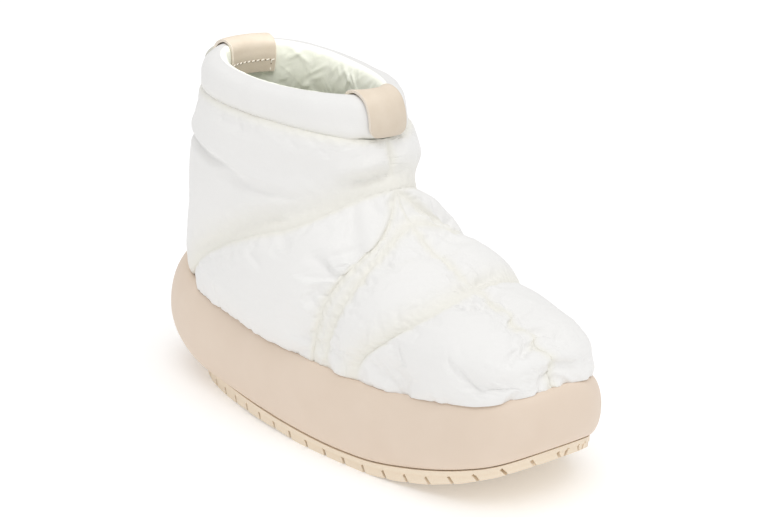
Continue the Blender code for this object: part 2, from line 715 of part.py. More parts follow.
def slab(under, over):
    """A closed sheet between two grids of the same size."""
    skin = Skin()
    skin.add(under)
    skin.add(over)
    for pick in (np.s_[0, :], np.s_[-1, :], np.s_[:, 0], np.s_[:, -1]):
        skin.add(np.stack([under[pick], over[pick]]))
    return skin


def make_stay(material):
    grid = back_strip(STAY_WIDTH, STAY_STEPS, STAY_CLEAR, STAY_DROP)
    normals = form_normal(grid)
    under = grid + normals * STAY_GAP
    return finish_mesh("back_stay", slab(under, under + normals * STRAP_THICKNESS), material)


def lock_frame():
    """The cord lock's axis, and two headings square to it."""
    axis = np.array([-np.cos(LOCK_TILT), 0, np.sin(LOCK_TILT)])
    return axis, np.array([np.sin(LOCK_TILT), 0, np.cos(LOCK_TILT)]), np.array([0.0, 1.0, 0.0])


def turned(start, axis, up, across, profile, steps):
    """A profile of distances along an axis and radii, turned round it."""
    spokes = [up * np.cos(a) + across * np.sin(a) for a in np.linspace(0, 2 * np.pi, steps + 1)]
    skin = Skin()
    skin.add([[start + axis * s + spoke * r for spoke in spokes] for s, r in profile])
    return skin


def make_cord_lock(material):
    axis, up, across = lock_frame()
    mouth = LOCK_BODY_PROFILE[-1][0]
    bore = [(mouth, LOCK_BORE), (LOCK_FLOOR, LOCK_BORE), (LOCK_FLOOR, 0)]
    shell = turned(LOCK_END, axis, up, across, [*LOCK_BODY_PROFILE, *bore], LATHE_STEPS)
    body = finish_mesh("cord_lock_body", shell, material)
    radius = CORD_DIAMETER / 2 + 2 * GAP
    centre = LOCK_END + axis * LOCK_CORD_LEVEL
    ends = (-HOLE_HALF_LENGTH, HOLE_HALF_LENGTH)
    rims = [(ends[0], 0), (ends[0], radius), (ends[1], radius), (ends[1], 0)]
    cutter = finish_mesh("cord_hole", turned(centre, up, axis, across, rims, HOLE_STEPS), material)
    cutter.hide_render = True
    cutter.display_type = "WIRE"
    cut = body.modifiers.new("Cord hole", "BOOLEAN")
    cut.operation = "DIFFERENCE"
    cut.object = cutter
    button = turned(LOCK_END, axis, up, across, BUTTON_PROFILE, LATHE_STEPS)
    finish_mesh("cord_lock_button", button, material)


def make_drawcord(material):
    curve = bpy.data.curves.new("drawcord", "CURVE")
    curve.dimensions = "3D"
    curve.bevel_depth = CORD_DIAMETER / 2 * MM
    curve.bevel_resolution = 2
    curve.use_fill_caps = True
    route = smooth_path(CORD_ROUTE, CORD_STEPS)
    spline = curve.splines.new("POLY")
    spline.points.add(len(route) - 1)
    for point, spot in zip(spline.points, route):
        point.co = (*spot * MM, 1)
    curve.materials.append(material)
    return joined(bpy.data.objects.new("drawcord", curve))


for old in list(bpy.data.objects):
    bpy.data.objects.remove(old, do_unlink=True)

boot = bpy.data.objects.new("boot", None)
bpy.context.scene.collection.objects.link(boot)
nylon = finish("Padded nylon", "#F2F1EF", 0.7)
leather = finish("Smooth leather", "#DCCFBE", 0.5)
sides = [side_panels(-1), side_panels(1)]
strip_form = back_strip(STAY_CHANNEL, CHANNEL_STEPS)
hem_loop = hem_of(sides, strip_form)
make_outsole(hem_loop, finish("Cream rubber", "#F3DFC2", 0.6))
make_midsole(hem_loop, finish("Wrapped leather", "#E0CFC0", 0.5))
make_insole(hem_loop, finish("Felt", "#E6EBDD", 0.9))
make_upper(sides, strip_form, hem_loop, nylon)
make_collar(nylon)
make_stay(leather)
make_loop("front_pull_loop", True, FRONT_LOOP_WIDTH, 0.2, 0.8, leather)
make_loop("rear_pull_loop", False, REAR_LOOP_WIDTH, 0.2, 0.97, leather)
make_cord_lock(finish("Grey plastic", "#D6D5CC", 0.45))
make_drawcord(finish("Braided cord", "#F2F2FA", 0.8))

# The boot stands with the middle of its sole and upper over the origin
bpy.context.view_layer.update()
spots = np.array([corner[:] for name in ("midsole", "upper") for corner in bpy.data.objects[name].bound_box])
middle = (spots.min(axis=0) + spots.max(axis=0)) / 2
boot.location = (-middle[0], -middle[1], 0)
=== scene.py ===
"""Looks of a padded ankle boot for the right foot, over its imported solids.

Sizes are the boot's own millimetres: +X to the toe, +Y to the wearer's left, which is the inner side of this
right boot, and +Z up from the floor.
"""

from collections import namedtuple
from functools import partial

import bmesh
import bpy
import numpy as np
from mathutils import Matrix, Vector, noise


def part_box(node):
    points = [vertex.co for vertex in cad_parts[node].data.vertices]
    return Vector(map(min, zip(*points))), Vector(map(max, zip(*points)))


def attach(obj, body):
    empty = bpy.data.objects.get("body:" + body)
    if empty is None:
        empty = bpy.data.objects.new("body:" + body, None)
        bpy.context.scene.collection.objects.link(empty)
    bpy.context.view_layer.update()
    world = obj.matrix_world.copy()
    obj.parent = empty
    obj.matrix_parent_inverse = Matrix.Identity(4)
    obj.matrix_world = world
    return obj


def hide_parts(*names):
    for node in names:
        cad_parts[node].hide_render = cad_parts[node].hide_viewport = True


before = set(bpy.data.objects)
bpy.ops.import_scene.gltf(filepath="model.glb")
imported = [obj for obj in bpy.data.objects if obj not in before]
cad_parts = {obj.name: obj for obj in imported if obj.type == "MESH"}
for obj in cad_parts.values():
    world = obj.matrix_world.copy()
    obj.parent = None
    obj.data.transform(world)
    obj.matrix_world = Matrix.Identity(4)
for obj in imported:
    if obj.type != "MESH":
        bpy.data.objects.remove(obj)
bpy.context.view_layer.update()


# Camera: a long lens before the toe, on the boot's outer side and a little above its rim.
# The boot's millimetres count from under the middle of its last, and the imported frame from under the
# middle of its box. SEAT is the way from one to the other, read off the inner rim of the cord lock.
MM = 0.001
LOCK_TILT = np.radians(34.0)
LOCK_END = np.array([-127.8, 0.0, 164.4])
LOCK_RIM = 5.9
lock_low, lock_high = [np.array(corner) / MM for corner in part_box("cord_lock_body")]
SEAT = np.array(
    [lock_high[0] - LOCK_END[0] - LOCK_RIM * np.sin(LOCK_TILT), (lock_low[1] + lock_high[1]) / 2, 0.0]
)
PICTURE_WIDTH = 779
FOCAL_LENGTH = 1800  # in the picture's pixels
SENSOR = 36.0
VIEW_CENTRE = np.array([20.0, 0.0, 90.0])
VIEW_TURN = np.radians(38.1)  # from the toe towards the outer side
VIEW_RISE = np.radians(18.3)
VIEW_DISTANCE = 912.9


def to_frame(points):
    """The boot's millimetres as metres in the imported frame."""
    return (np.asarray(points, float) + SEAT) * MM


def set_down(name, data):
    """A new object in the scene."""
    obj = bpy.data.objects.new(name, data)
    bpy.context.scene.collection.objects.link(obj)
    return obj


def looking(way):
    """Rotation of a camera or a light that points this way."""
    return Vector(way).to_track_quat("-Z", "Y").to_euler()


backward = np.array(
    [np.cos(VIEW_TURN) * np.cos(VIEW_RISE), -np.sin(VIEW_TURN) * np.cos(VIEW_RISE), np.sin(VIEW_RISE)]
)
lens = bpy.data.cameras.new("camera")
lens.sensor_width = SENSOR
lens.lens = SENSOR * FOCAL_LENGTH / PICTURE_WIDTH
camera = set_down("camera", lens)
camera.location = to_frame(VIEW_CENTRE + backward * VIEW_DISTANCE)
camera.rotation_euler = looking(-backward)
bpy.context.scene.camera = camera


# Drawcord and cord lock: a soft braided cord that leaves the collar behind the rear loop, passes through a
# moulded spring lock and goes back in at the heel stay. The lock is a barrel with a sprung push button; the
# cord runs through the barrel from side to side.
CORD_DIAMETER = 2.5
CORD_ROUTE = [
    (-121.8, 0, 173.9), (-124.2, 0, 172.8), (-126.5, 0, 170.5), (-129.8, 0, 165.7), (-133.1, 0, 160.8),
    (-135.3, 0, 155.6), (-134.4, 0, 150.6), (-131.0, 0, 147.6), (-128.0, 0, 146.9), (-125.9, 0, 146.9),
]
BRAID_PITCH = 3.4
BRAID_STRANDS = 4
BRAID_RELIEF = 0.14
LOCK_CORD_LEVEL = 2.4
LOCK_BORE = 3.6
LOCK_FLOOR = 0.9
# Outlines of the lock: distance along its axis from the end by the collar, and radius
LOCK_BARREL = [
    (0, 0), (0, 5.9), (0.7, 6.7), (1.6, 6.8), (2.5, 6.2), (3.4, 5.7), (4.4, 5.9), (5.4, 6.5), (6.0, 6.8),
    (6.6, 6.4), (6.6, LOCK_BORE), (LOCK_FLOOR, LOCK_BORE), (LOCK_FLOOR, 0),
]
LOCK_BUTTON = [
    (5.9, 0), (5.9, 3.2), (8.4, 3.2), (8.4, 6.8), (8.9, 7.3), (10.4, 7.3), (10.9, 6.9), (11.1, 6.2),
    (11.0, 3.6), (11.2, 3.2), (11.2, 0),
]
TURNED_STEPS = 72
BORE_CLEARANCE = 0.6  # between the cord and the bore that it runs through
BORE_LENGTH = 24.0
BORE_STEPS = 32
BUTTON_ROUNDING = 0.15
CORD_STEPS = 120
CORD_SIDES = 32


def hermite(xs, ys):
    """A smooth function through the points xs, ys, held level outside them."""
    xs, ys = np.asarray(xs, float), np.asarray(ys, float)
    slopes = np.gradient(ys, xs)

    def at(x):
        x = np.clip(x, xs[0], xs[-1])
        i = np.clip(np.searchsorted(xs, x) - 1, 0, len(xs) - 2)
        step = xs[i + 1] - xs[i]
        t = (x - xs[i]) / step
        start = (1 + 2 * t) * (1 - t) ** 2 * ys[i] + t * (1 - t) ** 2 * step * slopes[i]
        return start + t * t * (3 - 2 * t) * ys[i + 1] - t * t * (1 - t) * step * slopes[i + 1]

    return at


def run_of(path):
    return np.concatenate([[0], np.cumsum(np.linalg.norm(np.diff(path, axis=0), axis=1))])


def at_runs(rows, run, wanted):
    """Rows that belong to distances along a path, read at the wanted distances."""
    return np.stack([np.interp(wanted, run, rows[:, k]) for k in range(3)], -1)


def at_shares(path, shares):
    run = run_of(path)
    return at_runs(path, run, np.asarray(shares) * run[-1])


def unit(vectors):
    return vectors / np.linalg.norm(vectors, axis=-1, keepdims=True)


def smooth_path(points, steps=60, fineness=20):
    """An evenly stepped smooth path through a few points."""
    points = np.asarray(points, float)
    knots = run_of(points)
    dense = np.linspace(0, knots[-1], fineness * len(points))
    path = np.stack([hermite(knots, points[:, k])(dense) for k in range(3)], -1)
    return at_shares(path, np.linspace(0, 1, steps + 1))


class Skin:
    """Collects grids of points into one mesh, each with its material and its nearness to a seam."""

    def __init__(self):
        self.points, self.faces, self.places, self.seams = [], [], [], []
        self.count = 0

    def add(self, grid, place=0, seam=0.0):
        grid = np.asarray(grid, float)
        rows, columns = grid.shape[:2]
        index = self.count + np.arange(rows * columns).reshape(rows, columns)
        quads = np.stack([index[:-1, :-1], index[:-1, 1:], index[1:, 1:], index[1:, :-1]], -1).reshape(-1, 4)
        self.points.append(grid.reshape(-1, 3))
        self.faces.append(quads)
        self.places.append(np.full(len(quads), place))
        self.seams.append(np.broadcast_to(seam, (rows, columns)).ravel())
        self.count += rows * columns


def put_together(name, skin, *materials, crisp=60):
    """One object of a skin's grids: welded where they meet, its faces outwards and smooth."""
    mesh = bpy.data.meshes.new(name)
    mesh.from_pydata(to_frame(np.concatenate(skin.points)).tolist(), [], np.concatenate(skin.faces).tolist())
    for material in materials:
        mesh.materials.append(material)
    mesh.polygons.foreach_set("material_index", np.concatenate(skin.places).astype(np.int32))
    nearness = mesh.attributes.new("seam", "FLOAT", "POINT")
    nearness.data.foreach_set("value", np.concatenate(skin.seams).astype(np.float32))
    shape = bmesh.new()
    shape.from_mesh(mesh)
    bmesh.ops.remove_doubles(shape, verts=shape.verts, dist=1e-6)
    bmesh.ops.recalc_face_normals(shape, faces=shape.faces)
    shape.to_mesh(mesh)
    shape.free()
    mesh.shade_smooth()
    mesh.set_sharp_from_angle(angle=np.radians(crisp))
    return set_down(name, mesh)


def settled(obj):
    """Turns an object and its modifiers into a plain mesh."""
    graph = bpy.context.evaluated_depsgraph_get()
    mesh = bpy.data.meshes.new_from_object(obj.evaluated_get(graph))
    obj.modifiers.clear()
    obj.data = mesh
    return obj


def cut_out(obj, tool):
    """Takes a tool's shape out of an object, and the tool out of the scene."""
    cut = obj.modifiers.new("Cut", "BOOLEAN")
    cut.operation = "DIFFERENCE"
    cut.object = tool
    settled(obj)
    bpy.data.objects.remove(tool)


def fitted(obj, slot, *nodes, body="boot"):
    """A finished piece on its body, in the place of its solids."""
    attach(obj, body)
    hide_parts(*nodes)
    return obj


def linear(colour):
    """An sRGB hex colour as linear RGBA."""
    parts = [int(colour[i : i + 2], 16) / 255 for i in (1, 3, 5)]
    return (*[c / 12.92 if c <= 0.04045 else ((c + 0.055) / 1.055) ** 2.4 for c in parts], 1.0)


def add_node(tree, kind, settings=None, inputs=None):
    """A node with its settings, and with its inputs set to values or linked from other nodes' sockets."""
    node = tree.nodes.new(kind)
    for key, value in (settings or {}).items():
        setattr(node, key, value)
    for key, value in (inputs or {}).items():
        if isinstance(value, bpy.types.NodeSocket):
            tree.links.new(value, node.inputs[key])
        else:
            node.inputs[key].default_value = value
    return node


Finish = namedtuple("Finish", "material tree shader place mottle tint")


def finish(name, sockets, tones, size, detail, distortion=0.0, relief=None):
    """A material with these values on its shader's sockets, mottled between two tones in spots of a size.

    Relief is the strength and depth of a bump in the same spots, for a finish that has one.
    """
    material = bpy.data.materials.new(name)
    material.use_nodes = True
    tree = material.node_tree
    shader = tree.nodes["Principled BSDF"]
    for key, value in sockets.items():
        shader.inputs[key].default_value = value
    place = add_node(tree, "ShaderNodeTexCoord").outputs["Object"]
    mottle = add_node(tree, "ShaderNodeTexNoise", None, {
        "Vector": place, "Scale": 1 / (size * MM), "Detail": detail, "Distortion": distortion,
    }).outputs[0]
    tint = add_node(tree, "ShaderNodeMix", {"data_type": "RGBA"}, {
        0: mottle, 6: linear(tones[0]), 7: linear(tones[1]),
    }).outputs[2]
    tree.links.new(tint, shader.inputs["Base Color"])
    if relief:
        strength, depth = relief
        bump = add_node(tree, "ShaderNodeBump", None, {
            "Height": mottle, "Strength": strength, "Distance": depth * MM,
        })
        tree.links.new(bump.outputs[0], shader.inputs["Normal"])
    return Finish(material, tree, shader, place, mottle, tint)


# Braided polyester: a dull, slightly fuzzy white, cooler than the nylon
cord_braid = finish(
    "Braided polyester cord", {"Roughness": 0.85, "Sheen Weight": 0.25, "Sheen Roughness": 0.5},
    ("#E4E4EE", "#F8F8FD"), size=0.5, detail=3.0, relief=(0.3, 0.1),
).material

# Moulded acetal: an even warm grey with a soft shine and the faintest orange peel
lock_plastic = finish(
    "Moulded acetal", {"Roughness": 0.4, "IOR": 1.48},
    ("#CFCEC4", "#DCDBD2"), size=0.9, detail=2.0, relief=(0.12, 0.1),
).material


def tube(path, radius, sides):
    """A round tube along a path in the boot's middle plane, with its ends closed."""
    sideways = np.array([0.0, 1.0, 0.0])
    up = np.cross(unit(np.gradient(path, axis=0)), sideways)
    turn = np.linspace(0, 2 * np.pi, sides + 1)
    run = run_of(path)[:, None]
    strands = [np.cos(BRAID_STRANDS * (turn + way * np.pi * run / BRAID_PITCH)) for way in (-1, 1)]
    reach = (radius + BRAID_RELIEF * (np.maximum(*strands) - 1))[..., None]
    wall = path[:, None] + reach * (up[:, None] * np.cos(turn)[:, None] + sideways * np.sin(turn)[:, None])
    start, end = [np.broadcast_to(path[i], wall[i].shape) for i in (0, -1)]
    return np.concatenate([start[None], wall, end[None]])


lock_axis = np.array([-np.cos(LOCK_TILT), 0, np.sin(LOCK_TILT)])
lock_up = np.array([np.sin(LOCK_TILT), 0, np.cos(LOCK_TILT)])
lock_side = np.array([0.0, 1.0, 0.0])


def turned(start, axis, up, across, profile, steps):
    """A profile of distances along an axis and radii, turned round it."""
    turn = np.linspace(0, 2 * np.pi, steps + 1)[:, None]
    spokes = up * np.cos(turn) + across * np.sin(turn)
    skin = Skin()
    skin.add([start + axis * s + spokes * r for s, r in profile])
    return skin


barrel = put_together(
    "lock_barrel", turned(LOCK_END, lock_axis, lock_up, lock_side, LOCK_BARREL, TURNED_STEPS), lock_plastic
)
bore_radius = CORD_DIAMETER / 2 + BORE_CLEARANCE
bore_end = BORE_LENGTH / 2
bore_outline = [(-bore_end, 0), (-bore_end, bore_radius), (bore_end, bore_radius), (bore_end, 0)]
bore_middle = LOCK_END + lock_axis * LOCK_CORD_LEVEL
bore = turned(bore_middle, lock_up, lock_axis, lock_side, bore_outline, BORE_STEPS)
cut_out(barrel, put_together("cord_bore", bore, lock_plastic))
button = put_together(
    "lock_button", turned(LOCK_END, lock_axis, lock_up, lock_side, LOCK_BUTTON, TURNED_STEPS), lock_plastic
)
bevel = button.modifiers.new("Rounded edges", "BEVEL")
bevel.width = BUTTON_ROUNDING * MM
bevel.segments = 2
bevel.limit_method = "ANGLE"
bevel.angle_limit = np.radians(30)
settled(button)
cord_line = smooth_path(CORD_ROUTE, CORD_STEPS)
cord_skin = Skin()
cord_skin.add(tube(cord_line, CORD_DIAMETER / 2, CORD_SIDES))
drawcord = put_together("drawcord_braid", cord_skin, cord_braid)
fitted(barrel, "grey_plastic", "cord_lock_body")
fitted(button, "grey_plastic", "cord_lock_button", body="button")
fitted(drawcord, "braided_cord", "drawcord")


# Upper: a shell of soft nylon over fibre filling, quilted to a cloth lining along the seams of its panels.
# The seams lie on the last's form; between them the filling stands out, and the cloth gathers at its seams.
# The hem is stitched down to the sole's recess, and a bare channel up the heel takes the stay.
WALL = 4.0
TOE_TIP = 139.0
TOE_CAP_START = 60.0
HEEL_CAP_START = -20.0
HEEL_CAP_LENGTH = 60.0
SIDE_RISE = 12.0  # from the feather line up to the widest level of the foot
SIDE_TUCK = 0.07  # how much the wall draws in from there down to the feather line
HEEL_TUCK = 0.4  # share of that at the back of the heel
FOOT_POWER = 2.35
SHAFT_POWER = 2.15
THROAT_BLEND = 15.0
SHAFT_CENTRE = -52.0
STAY_CHANNEL = 27.0
SEAT_GAP = 0.3  # between pieces that touch
# The foot's sections; fall is how much lower the crown is towards the inner side
Foot = namedtuple("Foot", "x outer inner crown fall")
FOOT = [
    Foot(-60, 44, 43, 122, 0),
    Foot(0, 50, 47, 119, 0),
    Foot(36, 48, 49, 110, 1),
    Foot(60, 45, 50, 101, 3),
    Foot(88, 41, 49.5, 93.5, 9),
    Foot(108, 41, 49.2, 90, 10),
    Foot(125, 43, 50.2, 87, 8),
    Foot(139, 44, 52, 84, 5),
]
FALL_START = -0.2  # across the foot, as a share of its half width
# The shaft's ovals; egg is how much wider they are at the back than at the front
Shaft = namedtuple("Shaft", "z back front half egg")
SHAFT = [
    Shaft(40, -133, 28, 45, 0),
    Shaft(60, -134, 31, 47, 0),
    Shaft(85, -133.5, 33, 46, 0.02),
    Shaft(106, -130.8, 31, 43, 0.08),
    Shaft(125, -128, 26, 38.5, 0.2),
    Shaft(140, -124.3, 21, 38, 0.18),
    Shaft(150, -121.8, 18.5, 38.5, 0.15),
    Shaft(160, -118.5, 16.5, 38, 0.16),
    Shaft(175, -114.5, 13.5, 38, 0.16),
    Shaft(190, -111.5, 11.5, 37.5, 0.16),
]
Line = namedtuple("Line", "x z")
FEATHER_LINE = [
    Line(-136, 67), Line(-125, 60.3), Line(-110, 56), Line(-91, 52.6), Line(-50, 50.3), Line(-12, 47.2),
    Line(35, 45.6), Line(72, 45.2), Line(100, 48.4), Line(123, 52.4), Line(140, 59),
]
FOOTBED_LINE = [Line(-140, 47), Line(-90, 45), Line(0, 39.5), Line(70, 37.2), Line(100, 39.5), Line(140, 49)]
COLLAR_SEAM_LINE = [Line(-125, 164), Line(-82, 161.5), Line(-31, 158), Line(20, 152.5)]
# Points of the seams: along the boot, across it as a share of that side's half width, and up
Mark = namedtuple("Mark", "x across z")
HEEL_CORNER_X = -106.0
THROAT = Mark(27, 0, 129)
DIAGONAL_SEAM = [
    Mark(-88, 0.97, 72), Mark(-62, 1, 86), Mark(-35, 1, 98), Mark(-10, 0.95, 109), Mark(12, 0.6, 121),
]
STRIP_TOP = Mark(37, 0, 112)
TOE_SEAM_TOP = Mark(88, 0, 92)
# The two seams of the ruched strip over the throat and the seam behind the toe, with where they meet the hem
SideSeams = namedtuple("SideSeams", "strip_back strip_front strip_foot toe toe_foot")
OUTER_SEAMS = SideSeams(
    strip_back=[
        Mark(24, 1, 60), Mark(30, 0.93, 83), Mark(36, 0.72, 97.5), Mark(38, 0.48, 106), Mark(33, 0.2, 117),
    ],
    strip_front=[
        Mark(34, 1, 60), Mark(41, 0.93, 80), Mark(45, 0.74, 93.5), Mark(44, 0.46, 104), Mark(41, 0.2, 110),
    ],
    strip_foot=(21.0, 31.0),
    toe=[
        Mark(56, 1, 56), Mark(72, 0.95, 71), Mark(81.5, 0.83, 79), Mark(87, 0.66, 84.5),
        Mark(89.5, 0.4, 88.5),
    ],
    toe_foot=50.0,
)
INNER_SEAMS = SideSeams(
    strip_back=[Mark(24, 1, 60), Mark(29, 0.95, 82), Mark(33, 0.55, 106), Mark(31, 0.2, 121)],
    strip_front=[Mark(32, 1, 60), Mark(37, 0.93, 80), Mark(41, 0.55, 100), Mark(39, 0.2, 111)],
    strip_foot=(21.0, 29.0),
    toe=[Mark(62, 0.98, 60), Mark(69, 0.86, 73), Mark(78, 0.55, 85), Mark(85, 0.2, 91)],
    toe_foot=57.0,
)
VAMP_RIDGE = [Mark(52, 0, 105), Mark(70, 0, 98)]
TOE_RIDGE = [Mark(105, 0, 87), Mark(122, 0, 80), Mark(133, 0, 71)]
# Padding of each panel: height, and how steeply it rises from each edge
Puff = namedtuple("Puff", "height left right bottom top")
# Fullness sewn into an edge: how much longer the cloth is than its seam, and how far from it that runs out
Full = namedtuple("Full", "share reach")
# How far each seam holds the cloth down and paints it warmer, as painted light collecting in the seam
Hold = namedtuple("Hold", "left right bottom top")
# Ease is how much larger the cloth is than its padding, all over
Panel = namedtuple("Panel", "puff ease left right bottom top hold")
SHAFT_PANEL = Panel(
    Puff(8.5, 9, 7, 2.7, 12), 0.006,
    Full(0.0, 1), Full(0.07, 8), Full(0.0, 1), Full(0.008, 6), Hold(2, 2, 11, 2),
)
QUARTER_PANEL = Panel(
    Puff(8.6, 3.5, 9, 10, 12), 0.008,
    Full(0.0, 1), Full(0.1, 8), Full(0.03, 5), Full(0.0, 1), Hold(1, 2, 1, 1),
)
STRIP_PANEL = Panel(
    Puff(1.6, 2, 2, 8, 8), 0.02,
    Full(0.05, 6), Full(0.04, 6), Full(0.05, 6), Full(0.05, 6), Hold(5, 5, 1, 1),
)
VAMP_PANEL = Panel(
    Puff(8.0, 5, 3.5, 5, 3), 0.012,
    Full(0.05, 7), Full(0.02, 8), Full(0.04, 5), Full(0.07, 8), Hold(2, 8, 1, 2),
)
TOE_PANEL = Panel(
    Puff(6.5, 9, 6, 9, 2.6), 0.012,
    Full(0.02, 6), Full(0.0, 1), Full(0.04, 5), Full(0.09, 8), Hold(1, 1, 1, 2),
)
MOST_FULL = 0.12
HOLD_STRENGTH = 0.4
# The tone of a seam is painted warm light, for the light that collects in it.
PAINTED_SEAM_LIGHT_MARGIN = 1.0  # how much further than its hold a seam's tone goes
START_SHARE = 0.85  # share of the padding's height that the cloth starts with
CLOTH_FRAMES = 20
WEIGHT_LEVELS = 50  # steps in how firmly the cloth is pinned and how full it is cut
SEWN_WITHIN = 0.01  # so near a seam the cloth is sewn fast
BULGE_LIMIT = 1.2  # how far the cloth may stand out over its padding, but for its folds
OVER_THROAT = 10.0  # a panel whose back goes further up than this over the throat ends at the collar
# Lumps of the filling: how high and how long each kind is, and how far from a seam they come up
Lump = namedtuple("Lump", "height length")
CLOTH_LUMPS = [Lump(0.6, 27), Lump(0.2, 11)]
LUMPS_CLEAR = 9.0
# Under the collar the filling lifts the seam, but not beside the heel stay
SEAM_LIFT = 2.2
SEAM_LIFT_REACH = 6.0
STAY_SIDE = 8.0
# At the hem the cloth rolls out over the sole's rim, in scallops and further at the toe, and hangs down on it
HEM_ROLL = 2.6
HEM_ROLL_REACH = 9.0
HEM_SCALLOPS = [Lump(0.5, 12)]
TOE_ROLL = 1.5
TOE_ROLL_RUN = (100.0, 130.0)
HEM_SAG = 2.2
HEM_SAG_REACH = 6.0
HEM_RUN = (14.0, 6.0)  # height over the feather line where that starts, and where it is whole
HEM_START = 1.5  # from the hem's seam to where the cloth comes free of it
HEM_REST = 1.2  # how far over the rim the cloth stays
# Beside the heel stay it swells out over the rim
HEEL_SWELL = 3.0
HEEL_SWELL_RUN = (HEEL_CORNER_X + 20, HEEL_CORNER_X - 5)
HEEL_SWELL_FOOT = 5.0
HEEL_SWELL_REACH = 32.0
# The seam along the toe sways to and fro, less near its ends
SWAY = 2.6
SWAY_LENGTH = 17.0
SWAY_ENDS = 0.6
# Mesh steps along each panel edge; the cloth is simulated on every second one
HEEL_STEPS = 16
DIAGONAL_STEPS = 128
STRIP_STEPS = 16
VAMP_STEPS = 56
TOE_STEPS = 92
CHANNEL_STEPS = 20
PANEL_ROWS = 104
ROUND_STEPS = 600  # round one side of the boot, where an edge of the form is looked for


def column(rows, key, value):
    """One column of a table as a smooth function of another."""
    return hermite([getattr(row, key) for row in rows], [getattr(row, value) for row in rows])


foot_outer = column(FOOT, "x", "outer")
foot_inner = column(FOOT, "x", "inner")
foot_crown = column(FOOT, "x", "crown")
crown_fall = column(FOOT, "x", "fall")
shaft_back = column(SHAFT, "z", "back")
shaft_front = column(SHAFT, "z", "front")
shaft_half = column(SHAFT, "z", "half")
shaft_egg = column(SHAFT, "z", "egg")
feather_z = column(FEATHER_LINE, "x", "z")
footbed_z = column(FOOTBED_LINE, "x", "z")
collar_seam_z = column(COLLAR_SEAM_LINE, "x", "z")


def ramp(value, start, end):
    """0 at the start, rising evenly to 1 at the end."""
    return np.clip((value - start) / (end - start), 0, 1)


def fading(away, reach):
    """1 at an edge, falling smoothly to 0 within about two reaches of it."""
    return np.exp(-((away / reach) ** 2))


def foot_middle(x):
    return (foot_inner(x) - foot_outer(x)) / 2


def foot_half(x):
    return (foot_inner(x) + foot_outer(x)) / 2


def form_level(p):
    """Signed level of the sewn form: the foot and the shaft, run together at the throat."""
    x, y, z = p[..., 0], p[..., 1], p[..., 2]
    base = feather_z(x) + SIDE_RISE
    below = np.clip((base - z) / SIDE_RISE, 0, 2)
    half = foot_half(x) * (1 - SIDE_TUCK * below**2)
    spread = (y - foot_middle(x)) / half
    lowered = crown_fall(x) * ramp(spread, FALL_START, 1)
    rise = np.clip(z - base, 0, None) / (foot_crown(x) - lowered - base)
    toe = np.clip(x - TOE_CAP_START, 0, None) / (TOE_TIP - TOE_CAP_START)
    heel = np.clip(HEEL_CAP_START - x, 0, None) / HEEL_CAP_LENGTH
    n = FOOT_POWER
    foot = ((np.abs(spread) ** n + rise**n + toe**n + heel**n) ** (1 / n) - 1) * foot_half(x)
    tuck = 1 - SIDE_TUCK * below**2
    middle = (shaft_front(z) + shaft_back(z)) / 2
    reach = (shaft_front(z) - shaft_back(z)) / 2
    forward = (x - middle) / reach
    along = np.abs(forward) / (1 - HEEL_TUCK * (1 - tuck))
    across = np.abs(y) / (shaft_half(z) * tuck * (1 - shaft_egg(z) * np.clip(forward, -1, 1)))
    n = SHAFT_POWER
    shaft = ((along**n + across**n) ** (1 / n) - 1) * shaft_half(z)
    mix = np.clip(0.5 + (shaft - foot) / (2 * THROAT_BLEND), 0, 1)
    return shaft * (1 - mix) + foot * mix - THROAT_BLEND * mix * (1 - mix)


def form_slope(p, step=0.05):
    return np.stack(
        [(form_level(p + step * axis) - form_level(p - step * axis)) / (2 * step) for axis in np.eye(3)], -1
    )


def onto_form(p, rounds=12):
    """Moves points along the form's slope until they lie on it."""
    p = np.array(p, float)
    for _ in range(rounds):
        slope = form_slope(p)
        p -= slope * (form_level(p) / (slope**2).sum(-1))[..., None]
    return p


def form_normal(p):
    return unit(form_slope(p))


def ring(height, angles, centre_x, nearest=5.0, furthest=220.0, halvings=50):
    """Points of the form round a centre, at the height given for each x."""
    low, high = np.full(len(angles), nearest), np.full(len(angles), furthest)
    heading = np.stack([np.cos(angles), np.sin(angles)], -1)

    def spot(reach):
        x = centre_x + heading[:, 0] * reach
        return np.stack([x, heading[:, 1] * reach, height(x)], -1)

    for _ in range(halvings):
        middle = (low + high) / 2
        outside = form_level(spot(middle)) > 0
        high = np.where(outside, middle, high)
        low = np.where(outside, low, middle)
    return spot((low + high) / 2)


def seam(points, steps):
    """A seam on the form through a few points near it, from the first to the last of them."""
    path = at_shares(onto_form(smooth_path(points)), np.linspace(0, 1, steps + 1))
    path[1:-1] = onto_form(path[1:-1])
    path[0], path[-1] = points[0], points[-1]
    return path


def placed(mark, side):
    """A mark's point on one side; marks with no share across lie in the boot's middle plane."""
    return [mark.x, mark.across * (foot_middle(mark.x) + side * foot_half(mark.x)), mark.z]


def coons(bottom, top, left, right):
    """The form between four seams, as a grid with a row for each step of left and right."""
    s = np.linspace(0, 1, len(bottom))[None, :, None]
    t = np.linspace(0, 1, len(left))[:, None, None]
    across = (1 - t) * bottom[None] + t * top[None]
    up = (1 - s) * left[:, None] + s * right[:, None]
    corners = (1 - t) * ((1 - s) * bottom[0] + s * bottom[-1]) + t * ((1 - s) * top[0] + s * top[-1])
    grid = across + up - corners
    grid[1:-1, 1:-1] = onto_form(grid[1:-1, 1:-1])
    return grid


def feather_half(side):
    """One side of the feather line, from the back of the heel to the tip of the toe."""
    return ring(feather_z, side * np.linspace(np.pi, 0, ROUND_STEPS), 0.0)


def feather_spot(half, x):
    """Where one side of the feather line passes x, as a share of its length."""
    return np.interp(x, half[:, 0], run_of(half) / run_of(half)[-1])


def between(path, start, end, steps):
    return at_shares(path, np.linspace(start, end, steps + 1))


